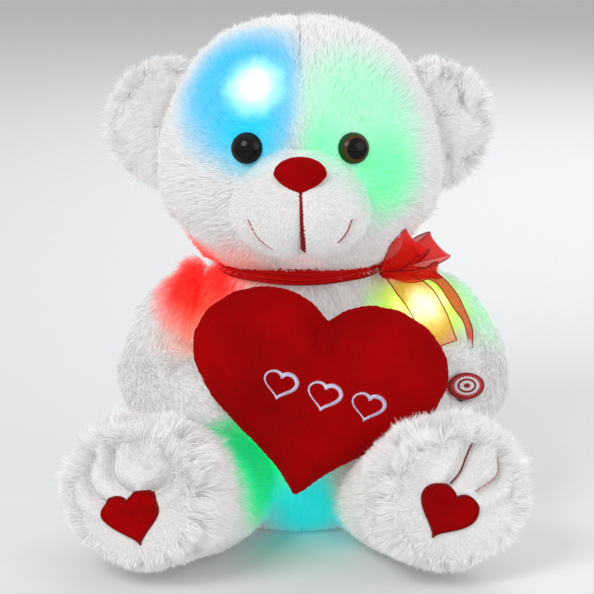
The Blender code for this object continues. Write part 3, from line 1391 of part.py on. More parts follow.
def main():
    torso_cover, torso_filling = build_torso()
    head_cover, head_filling = build_head()
    gap = SEAM_GAP
    torso_cutter = as_cutter(stuffed_form("torso_form", torso_shape(gap)))
    head_cutter = as_cutter(stuffed_form("head_form", head_shape(gap)))
    skin = -COVER_THICKNESS - gap
    torso_stuffing = as_cutter(stuffed_form("torso_stuffing_form", torso_shape(skin), 2))
    head_stuffing = as_cutter(stuffed_form("head_stuffing_form", head_shape(skin), 2))
    bpy.context.view_layer.update()

    build_zip(torso_cover, torso_filling)
    box_top = build_battery(torso_filling, torso_cover)
    moving_head = [head_cover, head_filling]
    for side, name in ((RIGHT, "right"), (LEFT, "left")):
        moving_head.append(build_ear(side, "ear_" + name, head_cutter))
        moving_head += build_eye(side, "eye_" + name, head_cover, head_filling, head_cutter)
    moving_head += build_face(head_cutter)
    heart_cutter = build_heart(torso_cutter)
    build_arm("arm_right", ARM_RIGHT_ROUTE_SHARES, torso_cutter, heart_cutter)
    arm_left = build_arm("arm_left", ARM_LEFT_ROUTE_SHARES, torso_cutter, heart_cutter)
    bpy.context.view_layer.update()
    build_switch(arm_left, torso_filling, torso_cover)
    beside_right = [torso_cutter, heart_cutter, arm_form("arm_right", ARM_RIGHT_ROUTE_SHARES)]
    arm_cutter = arm_form("arm_left", ARM_LEFT_ROUTE_SHARES)
    beside_left = [torso_cutter, heart_cutter, arm_cutter]
    bpy.context.view_layer.update()
    build_leg(RIGHT, "leg_right", FOOT_RIGHT_SPREAD, FOOT_RIGHT_TURN_DEG, PATCH_RIGHT_PLACE,
              PATCH_RIGHT_TILT_DEG, beside_right)
    build_leg(LEFT, "leg_left", FOOT_LEFT_SPREAD, FOOT_LEFT_TURN_DEG, PATCH_LEFT_PLACE,
              PATCH_LEFT_TILT_DEG, beside_left)

    neck = Vector((0, -NECK_FORWARD, NECK_HEIGHT))
    head_swing = as_cutter(stuffed_form("head_swing_form", head_shape(TAIL_CLEARANCE)))
    head_cutters = [
        copy_turned(head_swing, f"head_swing_{step}", about_axis(neck, HEAD_TURN_DEG * step / HEAD_CLEARANCE_STEPS))
        for step in range(-HEAD_CLEARANCE_STEPS, HEAD_CLEARANCE_STEPS + 1)
    ]
    groove = build_ribbon(head_cutters, beside_left, arm_cutter)
    carve(torso_cover, groove)
    carve(head_cover, groove)

    head_ends = build_lamps(HEAD_LAMP_SHARES, head_stuffing, head_filling, HEAD_HALF_WIDTH,
                            HEAD_HALF_HEIGHT, HEAD_CENTRE_HEIGHT)
    moving_head += [bpy.data.objects[name] for name in head_ends]
    torso_ends = build_lamps(TORSO_LAMP_SHARES, torso_stuffing, torso_filling, TORSO_HALF_WIDTH,
                             TORSO_HALF_HEIGHT, TORSO_CENTRE_HEIGHT)
    moving_head.append(build_leads(torso_filling, torso_ends, head_filling, head_ends, box_top))
    hang(moving_head, "head_pivot", neck)


main()
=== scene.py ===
"""Looks of a sitting plush night light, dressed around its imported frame."""

import logging
import math
from dataclasses import dataclass, field
from enum import Enum
from functools import cache
from typing import Callable, ClassVar, Optional, Sequence

import bpy
import numpy as np
from mathutils import Matrix, Vector
from mathutils.bvhtree import BVHTree
from mathutils.kdtree import KDTree


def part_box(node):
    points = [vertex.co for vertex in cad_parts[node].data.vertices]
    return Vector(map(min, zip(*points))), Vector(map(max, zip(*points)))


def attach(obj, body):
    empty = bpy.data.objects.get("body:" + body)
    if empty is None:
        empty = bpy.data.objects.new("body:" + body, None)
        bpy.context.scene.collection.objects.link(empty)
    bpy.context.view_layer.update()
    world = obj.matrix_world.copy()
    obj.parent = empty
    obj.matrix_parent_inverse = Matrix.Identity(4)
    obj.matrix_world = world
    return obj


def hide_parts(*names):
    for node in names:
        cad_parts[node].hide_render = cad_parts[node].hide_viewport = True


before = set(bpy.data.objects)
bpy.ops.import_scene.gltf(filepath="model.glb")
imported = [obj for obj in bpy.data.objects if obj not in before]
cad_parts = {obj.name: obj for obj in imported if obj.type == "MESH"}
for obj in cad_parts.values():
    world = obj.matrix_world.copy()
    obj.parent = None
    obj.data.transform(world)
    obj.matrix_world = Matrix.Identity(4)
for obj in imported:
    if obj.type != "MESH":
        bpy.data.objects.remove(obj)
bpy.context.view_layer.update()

LOG = logging.getLogger("night_light")
BADGE_MIDDLE = (0.0807, -0.0599, 0.0825)

Colour = tuple[float, float, float]
Place = tuple[float, float, float]
Field = Callable[[np.ndarray, np.ndarray], np.ndarray]


class Body(Enum):
    """The bodies that the dressed pieces ride on."""

    TRUNK = "body"
    HEAD = "head"
    LEG_RIGHT = "leg_right_body"
    LEG_LEFT = "leg_left_body"
    BUTTON = "press_button"


class Side(Enum):
    """The toy's right and left, with the sign of x on each."""

    RIGHT = -1
    LEFT = 1

    @property
    def label(self) -> str:
        """The side's name as node names spell it."""
        return self.name.lower()


def unit(vectors: np.ndarray) -> np.ndarray:
    """Rows scaled to length one."""
    return vectors / np.maximum(np.linalg.norm(vectors, axis=-1, keepdims=True), 1e-9)


def fade(values: np.ndarray, low: float, high: float) -> np.ndarray:
    """A smooth step from 0 at low to 1 at high."""
    share = np.clip((values - low) / (high - low), 0, 1)
    return share * share * (3 - 2 * share)


def flat_on(vectors: np.ndarray, normals: np.ndarray) -> np.ndarray:
    """The unit part of each vector that lies along the surface."""
    return unit(vectors - normals * (vectors * normals).sum(1, keepdims=True))


def wander(points: np.ndarray, wavelength: float, seed: int) -> np.ndarray:
    """A smooth vector field that repeats about every wavelength.

    Args:
        points: Rows of places in metres.
        wavelength: Rough size of a swirl.
        seed: Picks the field.

    Returns:
        One vector of length about one for each point.
    """
    rng = np.random.default_rng(seed)
    total = np.zeros_like(points)
    for octave in range(3):
        waves = rng.normal(size=(3, 3)) * (2 * math.pi / wavelength) * (1 + 0.7 * octave) / 1.7
        total += np.sin(points @ waves + rng.uniform(0, 2 * math.pi, 3)) / (1 + octave)
    return total / 1.5


def along_way(knots: Sequence[Sequence[float]], count: int, closed: bool = False) -> np.ndarray:
    """Points on a smooth curve through rows of numbers.

    Args:
        knots: Rows that the curve passes through.
        count: How many rows to return.
        closed: Whether the last row joins the first.

    Returns:
        Rows evenly spaced in the curve's own parameter.
    """
    rows = np.array(knots, float)
    last = len(rows) if closed else len(rows) - 1
    places = np.linspace(0, last, count, endpoint=not closed)
    low = np.minimum(places.astype(int), last - 1)
    t = (places - low)[:, None]

    def row(offset: int) -> np.ndarray:
        """The knot at an offset from each place."""
        if closed:
            return rows[(low + offset) % len(rows)]
        return rows[np.clip(low + offset, 0, len(rows) - 1)]

    before, first, second, after = row(-1), row(0), row(1), row(2)
    return 0.5 * (
        2 * first + (second - before) * t
        + (2 * before - 5 * first + 4 * second - after) * t**2
        + (3 * first - before - 3 * second + after) * t**3
    )


def heart_outline(count: int, half_width: float, half_height: float) -> np.ndarray:
    """Rows (across, up) round a heart, from its notch by its left lobe to the notch."""
    angle = 2 * math.pi * np.arange(count) / count
    rise = 0.90 * np.cos(angle) - 0.25 * np.cos(2 * angle)
    rise = rise - 0.12 * np.cos(3 * angle) - 0.05 * np.cos(4 * angle)
    return np.stack([half_width * np.sin(angle) ** 3, half_height * rise], 1)


def turned(rows: np.ndarray, degrees: float) -> np.ndarray:
    """Rows (across, up) turned about the origin."""
    angle = math.radians(degrees)
    return rows @ np.array(((math.cos(angle), math.sin(angle)), (-math.sin(angle), math.cos(angle))))


def moved(rows: np.ndarray, matrix: Matrix) -> np.ndarray:
    """Rows of places moved by a matrix."""
    numbers = np.array(matrix)
    return rows @ numbers[:3, :3].T + numbers[:3, 3]


def facing(place: Sequence[float], way: Vector) -> Matrix:
    """Axes at a place, with z along a way and x level."""
    level = Vector((0, 0, 1)).cross(way).normalized()
    return Matrix.Translation(place) @ Matrix((level, way.cross(level), way)).transposed().to_4x4()


def round_run(places: np.ndarray) -> np.ndarray:
    """The direction of a closed line at each of its places."""
    return unit(np.roll(places, -1, 0) - np.roll(places, 1, 0))


def nearest_line(flat: np.ndarray, ways: Sequence[np.ndarray]) -> np.ndarray:
    """How far each row of two numbers is from the nearest of some lines."""
    return np.min([np.sqrt(((flat[:, None] - way[None]) ** 2).sum(2)).min(1) for way in ways], axis=0)


def grid_faces(numbers: np.ndarray) -> np.ndarray:
    """The four-cornered faces of a grid of point numbers."""
    low, high = numbers[:-1], numbers[1:]
    return np.stack([low[:, :-1], high[:, :-1], high[:, 1:], low[:, 1:]], 2).reshape(-1, 4)


def cloth_rows(length: float, along: int, width: float, across: int) -> np.ndarray:
    """Map rows for a grid of cloth, in decimetres so that the weave keeps its size."""
    grid = np.meshgrid(np.linspace(0, length, along), np.linspace(0, width, across), indexing="ij")
    return np.stack(grid, 2).reshape(-1, 2) * 10


def within(outline: np.ndarray, rows: np.ndarray) -> np.ndarray:
    """Which rows of two numbers lie inside a closed outline."""
    inside = np.zeros(len(rows), bool)
    for first, last in zip(outline, np.roll(outline, -1, 0)):
        crosses = (first[1] > rows[:, 1]) != (last[1] > rows[:, 1])
        rise = last[1] - first[1] or 1e-12
        meets = first[0] + (rows[:, 1] - first[1]) / rise * (last[0] - first[0])
        inside ^= crosses & (rows[:, 0] < meets)
    return inside


class Bench:
    """The modelling bench: selection, modifiers, copies and plain meshes."""

    @staticmethod
    def only(piece: bpy.types.Object) -> None:
        """Selects and activates this object alone."""
        for other in bpy.context.selected_objects:
            other.select_set(False)
        piece.hide_set(False)
        piece.select_set(True)
        bpy.context.view_layer.objects.active = piece

    @staticmethod
    def clear() -> None:
        """Deselects everything."""
        for other in bpy.context.selected_objects:
            other.select_set(False)

    @staticmethod
    def named(name: str) -> bpy.types.Object:
        """Names the primitive that was just added, and returns it."""
        piece = bpy.context.active_object
        piece.name = name
        piece.data.name = name
        return piece

    @staticmethod
    def settle(piece: bpy.types.Object) -> bpy.types.Object:
        """Puts the object's place, turn and size into its mesh."""
        piece.data.transform(piece.matrix_world)
        piece.matrix_world = Matrix.Identity(4)
        return piece

    @classmethod
    def apply(cls, piece: bpy.types.Object, kind: str, **settings: object) -> None:
        """Adds a modifier with these settings and applies it."""
        cls.only(piece)
        modifier = piece.modifiers.new(kind.lower(), kind)
        for key, value in settings.items():
            setattr(modifier, key, value)
        bpy.ops.object.modifier_apply(modifier=modifier.name)

    @classmethod
    def copy_node(cls, node: str, name: str) -> bpy.types.Object:
        """A separate, welded copy of a CAD node's mesh."""
        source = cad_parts[node]
        piece = bpy.data.objects.new(name, source.data.copy())
        bpy.context.scene.collection.objects.link(piece)
        cls.only(piece)
        bpy.ops.object.mode_set(mode="EDIT")
        bpy.ops.mesh.select_all(action="SELECT")
        bpy.ops.mesh.remove_doubles(threshold=1e-6)
        bpy.ops.mesh.customdata_custom_splitnormals_clear()
        bpy.ops.mesh.normals_make_consistent(inside=False)
        bpy.ops.object.mode_set(mode="OBJECT")
        piece.data.name = name
        return piece

    @classmethod
    def stuffed(cls, node: str, name: str, voxel: float, ease: int = 6, rounds: int = 1) -> bpy.types.Object:
        """A soft, evenly meshed copy of a stuffed CAD node.

        Args:
            node: The CAD node.
            name: The new piece's name.
            voxel: Size of a face before the subdivision.
            ease: How often the mesh is smoothed.
            rounds: How often it is subdivided.

        Returns:
            The new piece.
        """
        piece = cls.copy_node(node, name)
        cls.apply(piece, "REMESH", mode="VOXEL", voxel_size=voxel, use_smooth_shade=True)
        cls.in_order(piece)
        cls.apply(piece, "SMOOTH", factor=0.5, iterations=ease)
        if rounds:
            cls.apply(piece, "SUBSURF", levels=rounds, render_levels=rounds)
        cls.smooth(piece)
        return piece

    @classmethod
    def in_order(cls, piece: bpy.types.Object) -> None:
        """Numbers a piece's points and faces by place, so that each run gives the same mesh."""
        rows = cls.points(piece)
        order = np.lexsort(np.round(rows, 7).T)
        rank = np.argsort(order)
        faces = []
        for face in piece.data.polygons:
            ring = rank[list(face.vertices)].tolist()
            first = ring.index(min(ring))
            faces.append(ring[first:] + ring[:first])
        ordered = bpy.data.meshes.new(piece.name + "_ordered")
        ordered.from_pydata(rows[order].tolist(), [], sorted(faces))
        ordered.shade_smooth()
        loose, piece.data = piece.data, ordered
        bpy.data.meshes.remove(loose)

    @classmethod
    def smooth(cls, piece: bpy.types.Object, angle: Optional[float] = None) -> None:
        """Shades a piece smooth, up to an angle in degrees if one is given."""
        cls.only(piece)
        if angle is None:
            bpy.ops.object.shade_smooth()
        else:
            bpy.ops.object.shade_smooth_by_angle(angle=math.radians(angle))

    @staticmethod
    def points(piece: bpy.types.Object) -> np.ndarray:
        """The mesh's points as rows."""
        rows = np.empty(len(piece.data.vertices) * 3, np.float32)
        piece.data.vertices.foreach_get("co", rows)
        return rows.reshape(-1, 3).astype(float)

    @staticmethod
    def normals(piece: bpy.types.Object) -> np.ndarray:
        """The normal at each point as rows."""
        rows = np.empty(len(piece.data.vertices) * 3, np.float32)
        piece.data.vertices.foreach_get("normal", rows)
        return rows.reshape(-1, 3).astype(float)

    @staticmethod
    def move_to(piece: bpy.types.Object, rows: np.ndarray) -> None:
        """Gives the mesh's points new places."""
        piece.data.vertices.foreach_set("co", np.ascontiguousarray(rows, np.float32).ravel())
        piece.data.update()

    @staticmethod
    def triangles(piece: bpy.types.Object) -> np.ndarray:
        """The mesh's triangles as rows of point numbers."""
        piece.data.calc_loop_triangles()
        rows = np.empty(len(piece.data.loop_triangles) * 3, np.int32)
        piece.data.loop_triangles.foreach_get("vertices", rows)
        return rows.reshape(-1, 3)

    @staticmethod
    def chart(piece: bpy.types.Object, label: str, rows: np.ndarray) -> None:
        """Writes a UV map from one row of two numbers for each point."""
        corners = np.empty(len(piece.data.loops), np.int32)
        piece.data.loops.foreach_get("vertex_index", corners)
        layer = piece.data.uv_layers.new(name=label)
        layer.data.foreach_set("uv", np.ascontiguousarray(rows[corners], np.float32).ravel())

    @staticmethod
    def mesh(name: str, points: np.ndarray, faces: np.ndarray) -> bpy.types.Object:
        """A piece from rows of points and rows of equally long faces."""
        data = bpy.data.meshes.new(name)
        corners = faces.shape[1]
        data.vertices.add(len(points))
        data.vertices.foreach_set("co", np.ascontiguousarray(points, np.float32).ravel())
        data.loops.add(faces.size)
        data.loops.foreach_set("vertex_index", np.ascontiguousarray(faces, np.int32).ravel())
        data.polygons.add(len(faces))
        data.polygons.foreach_set("loop_start", np.arange(0, faces.size, corners, dtype=np.int32))
        data.update(calc_edges=True)
        data.validate()
        data.shade_smooth()
        piece = bpy.data.objects.new(name, data)
        bpy.context.scene.collection.objects.link(piece)
        return piece

    @classmethod
    def fill_out(cls, piece: bpy.types.Object, pressure: float, cap: float) -> None:
        """Blows a stuffed piece up with cloth pressure, and caps how far it moves.

        Args:
            piece: A closed, evenly meshed piece.
            pressure: The cloth's pressure.
            cap: The furthest that a point may move.
        """
        before = cls.points(piece)
        modifier = piece.modifiers.new("stuffing", "CLOTH")
        modifier.settings.use_pressure = True
        modifier.settings.uniform_pressure_force = pressure
        modifier.settings.effector_weights.gravity = 0
        modifier.settings.quality = 5
        scene = bpy.context.scene
        for step in range(1, 21):
            scene.frame_set(step)
        cls.only(piece)
        bpy.ops.object.modifier_apply(modifier=modifier.name)
        scene.frame_set(1)
        shift = cls.points(piece) - before
        reach = np.linalg.norm(shift, axis=1, keepdims=True)
        cls.move_to(piece, before + shift * np.minimum(1, cap / np.maximum(reach, 1e-9)))


class Surface:
    """A piece's surface, for placing stitches and fur on it."""

    def __init__(self, piece: bpy.types.Object) -> None:
        """Reads the piece's points and triangles."""
        self.points = Bench.points(piece)
        self.faces = Bench.triangles(piece)
        self.tree = BVHTree.FromPolygons(self.points.tolist(), self.faces.tolist(), all_triangles=True)

    def meet(self, start: Sequence[float], way: Sequence[float]) -> Optional[tuple[Vector, Vector]]:
        """The first place and normal that a ray meets, or None."""
        place, normal, _, _ = self.tree.ray_cast(Vector(start), Vector(way).normalized())
        return None if place is None else (place, normal)

    def lay(
        self, rows: np.ndarray, way: Sequence[float], back: float = 0.05
    ) -> tuple[np.ndarray, np.ndarray]:
        """Drops rows of points on the surface.

        Args:
            rows: Places near the surface.
            way: The direction in which they drop.
            back: How far off they start.

        Returns:
            The places met and their outward normals; nearest places where a ray misses.
        """
        way = Vector(way).normalized()
        places, normals = [], []
        for row in rows:
            start = Vector(row) - way * back
            met = self.meet(start, way)
            if met is None:
                place, normal, _, _ = self.tree.find_nearest(Vector(row))
                met = (place, normal)
            place, normal = met
            if normal.dot(way) > 0:
                normal = -normal
            places.append(place)
            normals.append(normal)
        return np.array(places, float), unit(np.array(normals, float))


class Neighbours:
    """CAD nodes that fur keeps out of."""

    def __init__(self, nodes: Sequence[str], margin: float) -> None:
        """Reads the nodes' surfaces, to be kept clear by a margin."""
        self.margin = margin
        self.forms = []
        for name in nodes:
            low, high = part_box(name)
            tree = Surface(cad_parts[name]).tree
            self.forms.append((np.array(low) - margin, np.array(high) + margin, tree))

    def clear(self, rows: np.ndarray) -> np.ndarray:
        """Which of these places are outside every node by the margin."""
        free = np.ones(len(rows), bool)
        for low, high, tree in self.forms:
            near = np.flatnonzero(free & (rows > low).all(1) & (rows < high).all(1))
            for index in near:
                here = Vector(rows[index])
                place, normal, _, distance = tree.find_nearest(here)
                if distance < self.margin or (here - place).dot(normal) < 0:
                    free[index] = False
        return free


def present(
    piece: bpy.types.Object,
    body: Body,
    finish: "Finish",
    replaced: Sequence[str] = (),
) -> bpy.types.Object:
    """Gives a finished piece its finish and body, and reports it.

    Args:
        piece: The finished piece.
        body: What it moves with.
        finish: Its finish.
        replaced: CAD nodes that it stands for.

    Returns:
        The same piece.
    """
    piece.data.materials.clear()
    piece.data.materials.append(finish.make())
    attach(piece, body.value)
    if replaced:
        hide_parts(*replaced)
    LOG.info("%s: %d faces, on %s", piece.name, len(piece.data.polygons), body.value)
    return piece


class Graph:
    """A short way to place shader nodes and link them."""

    def __init__(self, tree: bpy.types.NodeTree) -> None:
        """Works on one node tree."""
        self.tree = tree

    def add(self, kind: str, **settings: object) -> bpy.types.Node:
        """A new node with these settings."""
        node = self.tree.nodes.new(kind)
        for key, value in settings.items():
            setattr(node, key, value)
        return node

    def feed(self, socket: bpy.types.NodeSocket, value: object) -> None:
        """Links an output to a socket, or writes a number or colour in it."""
        if isinstance(value, bpy.types.NodeSocket):
            self.tree.links.new(value, socket)
        elif isinstance(value, tuple) and len(value) == 3 and socket.type == "RGBA":
            socket.default_value = (*value, 1.0)
        else:
            socket.default_value = value

    def math(self, operation: str, *values: object, clamp: bool = False) -> bpy.types.NodeSocket:
        """The result of one sum on numbers."""
        node = self.add("ShaderNodeMath", operation=operation, use_clamp=clamp)
        for socket, value in zip(node.inputs, values):
            self.feed(socket, value)
        return node.outputs[0]

    def vector(self, operation: str, *values: object, out: int = 0) -> bpy.types.NodeSocket:
        """The result of one sum on vectors."""
        node = self.add("ShaderNodeVectorMath", operation=operation)
        for socket, value in zip(node.inputs, values):
            self.feed(socket, value)
        return node.outputs[out]

    def mix(self, factor: object, first: object, second: object, blend: str = "MIX") -> bpy.types.NodeSocket:
        """Two colours mixed."""
        node = self.add("ShaderNodeMix", data_type="RGBA", blend_type=blend)
        self.feed(node.inputs[0], factor)
        self.feed(node.inputs[6], first)
        self.feed(node.inputs[7], second)
        return node.outputs[2]

    def span(
        self, value: object, low: float, high: float, first: float = 0.0, last: float = 1.0
    ) -> bpy.types.NodeSocket:
        """A value moved smoothly from one range to another."""
        node = self.add("ShaderNodeMapRange", interpolation_type="SMOOTHSTEP")
        for socket, number in zip(node.inputs, (value, low, high, first, last)):
            self.feed(socket, number)
        return node.outputs[0]

    def place(self) -> bpy.types.NodeSocket:
        """The place on the object, in metres."""
        return self.add("ShaderNodeTexCoord").outputs["Object"]

    def chart(self, name: str) -> tuple[bpy.types.NodeSocket, bpy.types.NodeSocket]:
        """The two numbers of a UV map."""
        node = self.add("ShaderNodeSeparateXYZ")
        self.feed(node.inputs[0], self.add("ShaderNodeUVMap", uv_map=name).outputs[0])
        return node.outputs[0], node.outputs[1]

    def noise(
        self, vector: object, scale: float, detail: float = 2.0, rough: float = 0.5
    ) -> bpy.types.NodeSocket:
        """Cloudy noise from 0 to 1."""
        node = self.add("ShaderNodeTexNoise")
        self.feed(node.inputs["Vector"], vector)
        node.inputs["Scale"].default_value = scale
        node.inputs["Detail"].default_value = detail
        node.inputs["Roughness"].default_value = rough
        return node.outputs[0]

    def wave(self, vector: object, scale: float, direction: str, stray: float = 0.0) -> bpy.types.NodeSocket:
        """Parallel ridges from 0 to 1."""
        node = self.add("ShaderNodeTexWave", bands_direction=direction)
        self.feed(node.inputs["Vector"], vector)
        node.inputs["Scale"].default_value = scale
        node.inputs["Distortion"].default_value = stray
        return node.outputs["Fac"]

    def bump(self, height: object, strength: float, depth: float) -> bpy.types.NodeSocket:
        """A normal that follows a height."""
        node = self.add("ShaderNodeBump")
        node.inputs["Strength"].default_value = strength
        node.inputs["Distance"].default_value = depth
        self.feed(node.inputs["Height"], height)
        return node.outputs[0]

    def group(self, tree: bpy.types.NodeTree, **values: object) -> bpy.types.Node:
        """A node group with values on its inputs."""
        node = self.add("ShaderNodeGroup", node_tree=tree)
        for key, value in values.items():
            self.feed(node.inputs[key], value)
        return node


def new_group(
    name: str, takes: dict[str, str], gives: dict[str, str]
) -> tuple[Graph, bpy.types.Node, bpy.types.Node]:
    """An empty shader group with named sockets.

    Args:
        name: The group's name.
        takes: Input names and their kinds, Float, Color or Vector.
        gives: Output names and their kinds.

    Returns:
        A graph on the group, its input node and its output node.
    """
    tree = bpy.data.node_groups.new(name, "ShaderNodeTree")
    for in_out, sockets in (("INPUT", takes), ("OUTPUT", gives)):
        for label, kind in sockets.items():
            tree.interface.new_socket(name=label, in_out=in_out, socket_type="NodeSocket" + kind)
    graph = Graph(tree)
    return graph, graph.add("NodeGroupInput"), graph.add("NodeGroupOutput")


@dataclass(frozen=True)
class Glow:
    """Coloured light that shows through the plush round one lamp.

    Attributes:
        centre: Where it is brightest.
        inner: Radius inside which it is full.
        outer: Radius at which it ends.
        colour: Its colour.
        tint: How far its light is painted into the plush's colour, from 0 to 1.
        shine: How much it glows by itself.
        half: -1 or 1 where a seam stops it at the middle, or 0.
    """

    centre: Place
    inner: float
    outer: float
    colour: Colour
    tint: float
    shine: float
    half: int = 0


# Painted fill light: every plush face glows by this share of its own colour, lifting the shade between
# strands
PAINTED_FILL_GLOW = 0.06
# Painted light: the glow added where a strand's back face is seen, as a share of its colour, standing in for
# what its shaded side lets through
PAINTED_BACK_GLOW = 0.12
GLOWS = (
    Glow((-0.029, -0.046, 0.226), 0.018, 0.046, (0.00, 0.58, 0.90), 0.88, 0.10, -1),
    Glow((-0.024, -0.060, 0.204), 0.004, 0.026, (0.00, 0.60, 0.78), 0.86, 0.12, -1),
    Glow((-0.022, -0.050, 0.229), 0.001, 0.020, (0.80, 1.00, 0.98), 0.92, 0.45, -1),
    Glow((0.030, -0.056, 0.214), 0.014, 0.050, (0.40, 0.97, 0.66), 0.74, 0.06, 1),
    Glow((0.042, -0.056, 0.186), 0.005, 0.032, (0.12, 0.93, 0.44), 0.74, 0.10, 1),
    Glow((0.012, -0.066, 0.202), 0.002, 0.020, (0.24, 0.94, 0.56), 0.66, 0.08, 1),
    Glow((-0.050, -0.018, 0.124), 0.013, 0.033, (1.00, 0.02, 0.01), 0.98, 0.22),
    Glow((-0.050, -0.030, 0.101), 0.002, 0.028, (1.00, 0.36, 0.18), 0.45, 0.05),
    # Painted reflection: a reddish glow on the chin's fur, round no lamp
    Glow((-0.030, -0.044, 0.134), 0.004, 0.026, (1.00, 0.24, 0.18), 0.55, 0.06),
    Glow((0.000, -0.058, 0.134), 0.002, 0.024, (1.00, 0.62, 0.62), 0.40, 0.12),
    Glow((0.082, -0.018, 0.112), 0.004, 0.036, (0.44, 0.95, 0.56), 0.58, 0.06),
    Glow((0.046, -0.034, 0.118), 0.003, 0.020, (0.45, 0.96, 0.32), 0.74, 0.10),
    Glow((0.060, -0.026, 0.114), 0.009, 0.030, (0.76, 0.92, 0.06), 0.92, 0.22),
    Glow((0.060, -0.027, 0.115), 0.003, 0.017, (1.00, 1.00, 0.90), 1.00, 0.95),
    Glow((-0.024, -0.066, 0.042), 0.016, 0.036, (0.00, 0.82, 0.34), 0.97, 0.20),
    Glow((0.004, -0.056, 0.014), 0.010, 0.034, (0.00, 0.74, 0.74), 0.94, 0.18),
)


class Groups:
    """The shader groups that several finishes share, each built once."""

    @staticmethod
    @cache
    def lamp_glow() -> bpy.types.NodeTree:
        """Tints a colour near the lamps, and says how much shines."""
        graph, takes, gives = new_group(
            "lamp_glow", {"Base": "Color", "Gain": "Float"}, {"Color": "Color", "Emission": "Color"}
        )
        place = graph.place()
        split = graph.add("ShaderNodeSeparateXYZ")
        graph.feed(split.inputs[0], place)
        ragged = graph.math("MULTIPLY", graph.math("SUBTRACT", graph.noise(place, 110, 2), 0.5), 0.007)
        colour, shine = takes.outputs["Base"], (0.0, 0.0, 0.0)
        for glow in GLOWS:
            away = graph.vector("DISTANCE", place, glow.centre, out=1)
            away = graph.math("ADD", away, ragged)
            amount = graph.span(away, glow.inner, glow.outer, 1.0, 0.0)
            if glow.half:
                across = graph.math("MULTIPLY", split.outputs[0], float(glow.half))
                amount = graph.math("MULTIPLY", amount, graph.span(across, -0.007, 0.007))
            amount = graph.math("MULTIPLY", amount, takes.outputs["Gain"])
            # Painted light: near each lamp its colour is mixed into the plush's base colour, and shines from
            # the plush itself
            colour = graph.mix(graph.math("MULTIPLY", amount, glow.tint), colour, glow.colour)
            shine = graph.mix(graph.math("MULTIPLY", amount, glow.shine), shine, glow.colour)
        graph.feed(gives.inputs["Color"], colour)
        graph.feed(gives.inputs["Emission"], shine)
        return graph.tree

    @staticmethod
    @cache
    def grain() -> bpy.types.NodeTree:
        """Cloudy shade and fine grain, for moulded, painted and rolled faces."""
        graph, takes, gives = new_group(
            "grain",
            {"Base": "Color", "Worn": "Color", "Wear": "Float"},
            {"Color": "Color", "Smudge": "Float", "Height": "Float"},
        )
        place = graph.place()
        broad = graph.noise(place, 90, 3, 0.6)
        fine = graph.noise(place, 2600, 2, 0.6)
        worn = graph.math("MULTIPLY", graph.span(broad, 0.45, 0.75), takes.outputs["Wear"])
        shaded = graph.mix(graph.math("MULTIPLY", fine, 0.18), takes.outputs["Base"], (0.0, 0.0, 0.0))
        graph.feed(gives.inputs["Color"], graph.mix(worn, shaded, takes.outputs["Worn"]))
        graph.feed(gives.inputs["Smudge"], broad)
        graph.feed(gives.inputs["Height"], fine)
        return graph.tree

    @staticmethod
    @cache
    def weave() -> bpy.types.NodeTree:
        """Crossed threads along a UV map's two ways: a height and a mask of closed places."""
        graph, takes, gives = new_group(
            "weave", {"Vector": "Vector"}, {"Height": "Float", "Thread": "Float"}
        )
        first = graph.wave(takes.outputs["Vector"], 420, "X", 0.4)
        second = graph.wave(takes.outputs["Vector"], 420, "Y", 0.4)
        thread = graph.math("MAXIMUM", first, second)
        graph.feed(gives.inputs["Height"], thread)
        graph.feed(gives.inputs["Thread"], graph.span(thread, 0.3, 0.9))
        return graph.tree


@dataclass(frozen=True)
class Finish:
    """A finish by name; each kind wires its own shader."""

    name: str

    @cache
    def make(self) -> bpy.types.Material:
        """The material, built on first use."""
        material = bpy.data.materials.new(self.name + "_finish")
        material.use_nodes = True
        shader = next(node for node in material.node_tree.nodes if node.type == "BSDF_PRINCIPLED")
        self.wire(Graph(material.node_tree), shader.inputs)
        return material

    def wire(self, graph: Graph, takes: bpy.types.bpy_prop_collection) -> None:
        """Wires the shader's sockets; each kind of finish has its own."""
        raise NotImplementedError

    @staticmethod
    def light_up(
        graph: Graph, takes: bpy.types.bpy_prop_collection, colour: object, gain: float, share: object
    ) -> None:
        """Feeds a colour under the lamps' glow, and a share of it that shines by itself."""
        glow = graph.group(Groups.lamp_glow(), Base=colour, Gain=gain)
        graph.feed(takes["Base Color"], glow.outputs["Color"])
        lit = graph.mix(share, glow.outputs["Emission"], glow.outputs["Color"], "ADD")
        graph.feed(takes["Emission Color"], lit)
        takes["Emission Strength"].default_value = 1.0


@dataclass(frozen=True)
class PlushFinish(Finish):
    """Fur: darker at the root with painted shade between the strands, lighter at the tip, each strand a
    little different.
    """

    # The darker root colour is painted shade between the strands near the skin
    root: Colour = (0.80, 0.785, 0.78)
    tip: Colour = (0.95, 0.945, 0.94)
    gain: float = 1.0

    def wire(self, graph: Graph, takes: bpy.types.bpy_prop_collection) -> None:
        """Wires painted shade towards each strand's root, a random tone for each strand, cloudy warmth and
        the lamps' glow.
        """
        odd, along = graph.chart("strand")
        colour = graph.mix(graph.math("POWER", along, 0.65), self.root, self.tip)
        warmth = graph.noise(graph.place(), 38, 3, 0.6)
        warm = graph.math("MULTIPLY", graph.span(warmth, 0.45, 0.75), 0.10)
        colour = graph.mix(warm, colour, (0.86, 0.80, 0.75))
        shade = graph.math("MULTIPLY_ADD", odd, 0.16, 0.87)
        colour = graph.mix(1.0, colour, shade, "MULTIPLY")
        # Painted light: a fill glow everywhere, and more where the camera sees a strand's back face
        away = graph.add("ShaderNodeNewGeometry").outputs["Backfacing"]
        shine = graph.math("MULTIPLY_ADD", away, PAINTED_BACK_GLOW, PAINTED_FILL_GLOW)
        self.light_up(graph, takes, colour, self.gain, shine)
        graph.feed(takes["Roughness"], graph.math("MULTIPLY_ADD", odd, 0.22, 0.45))
        takes["Specular IOR Level"].default_value = 0.30
        takes["Sheen Weight"].default_value = 0.30
        takes["Sheen Roughness"].default_value = 0.45


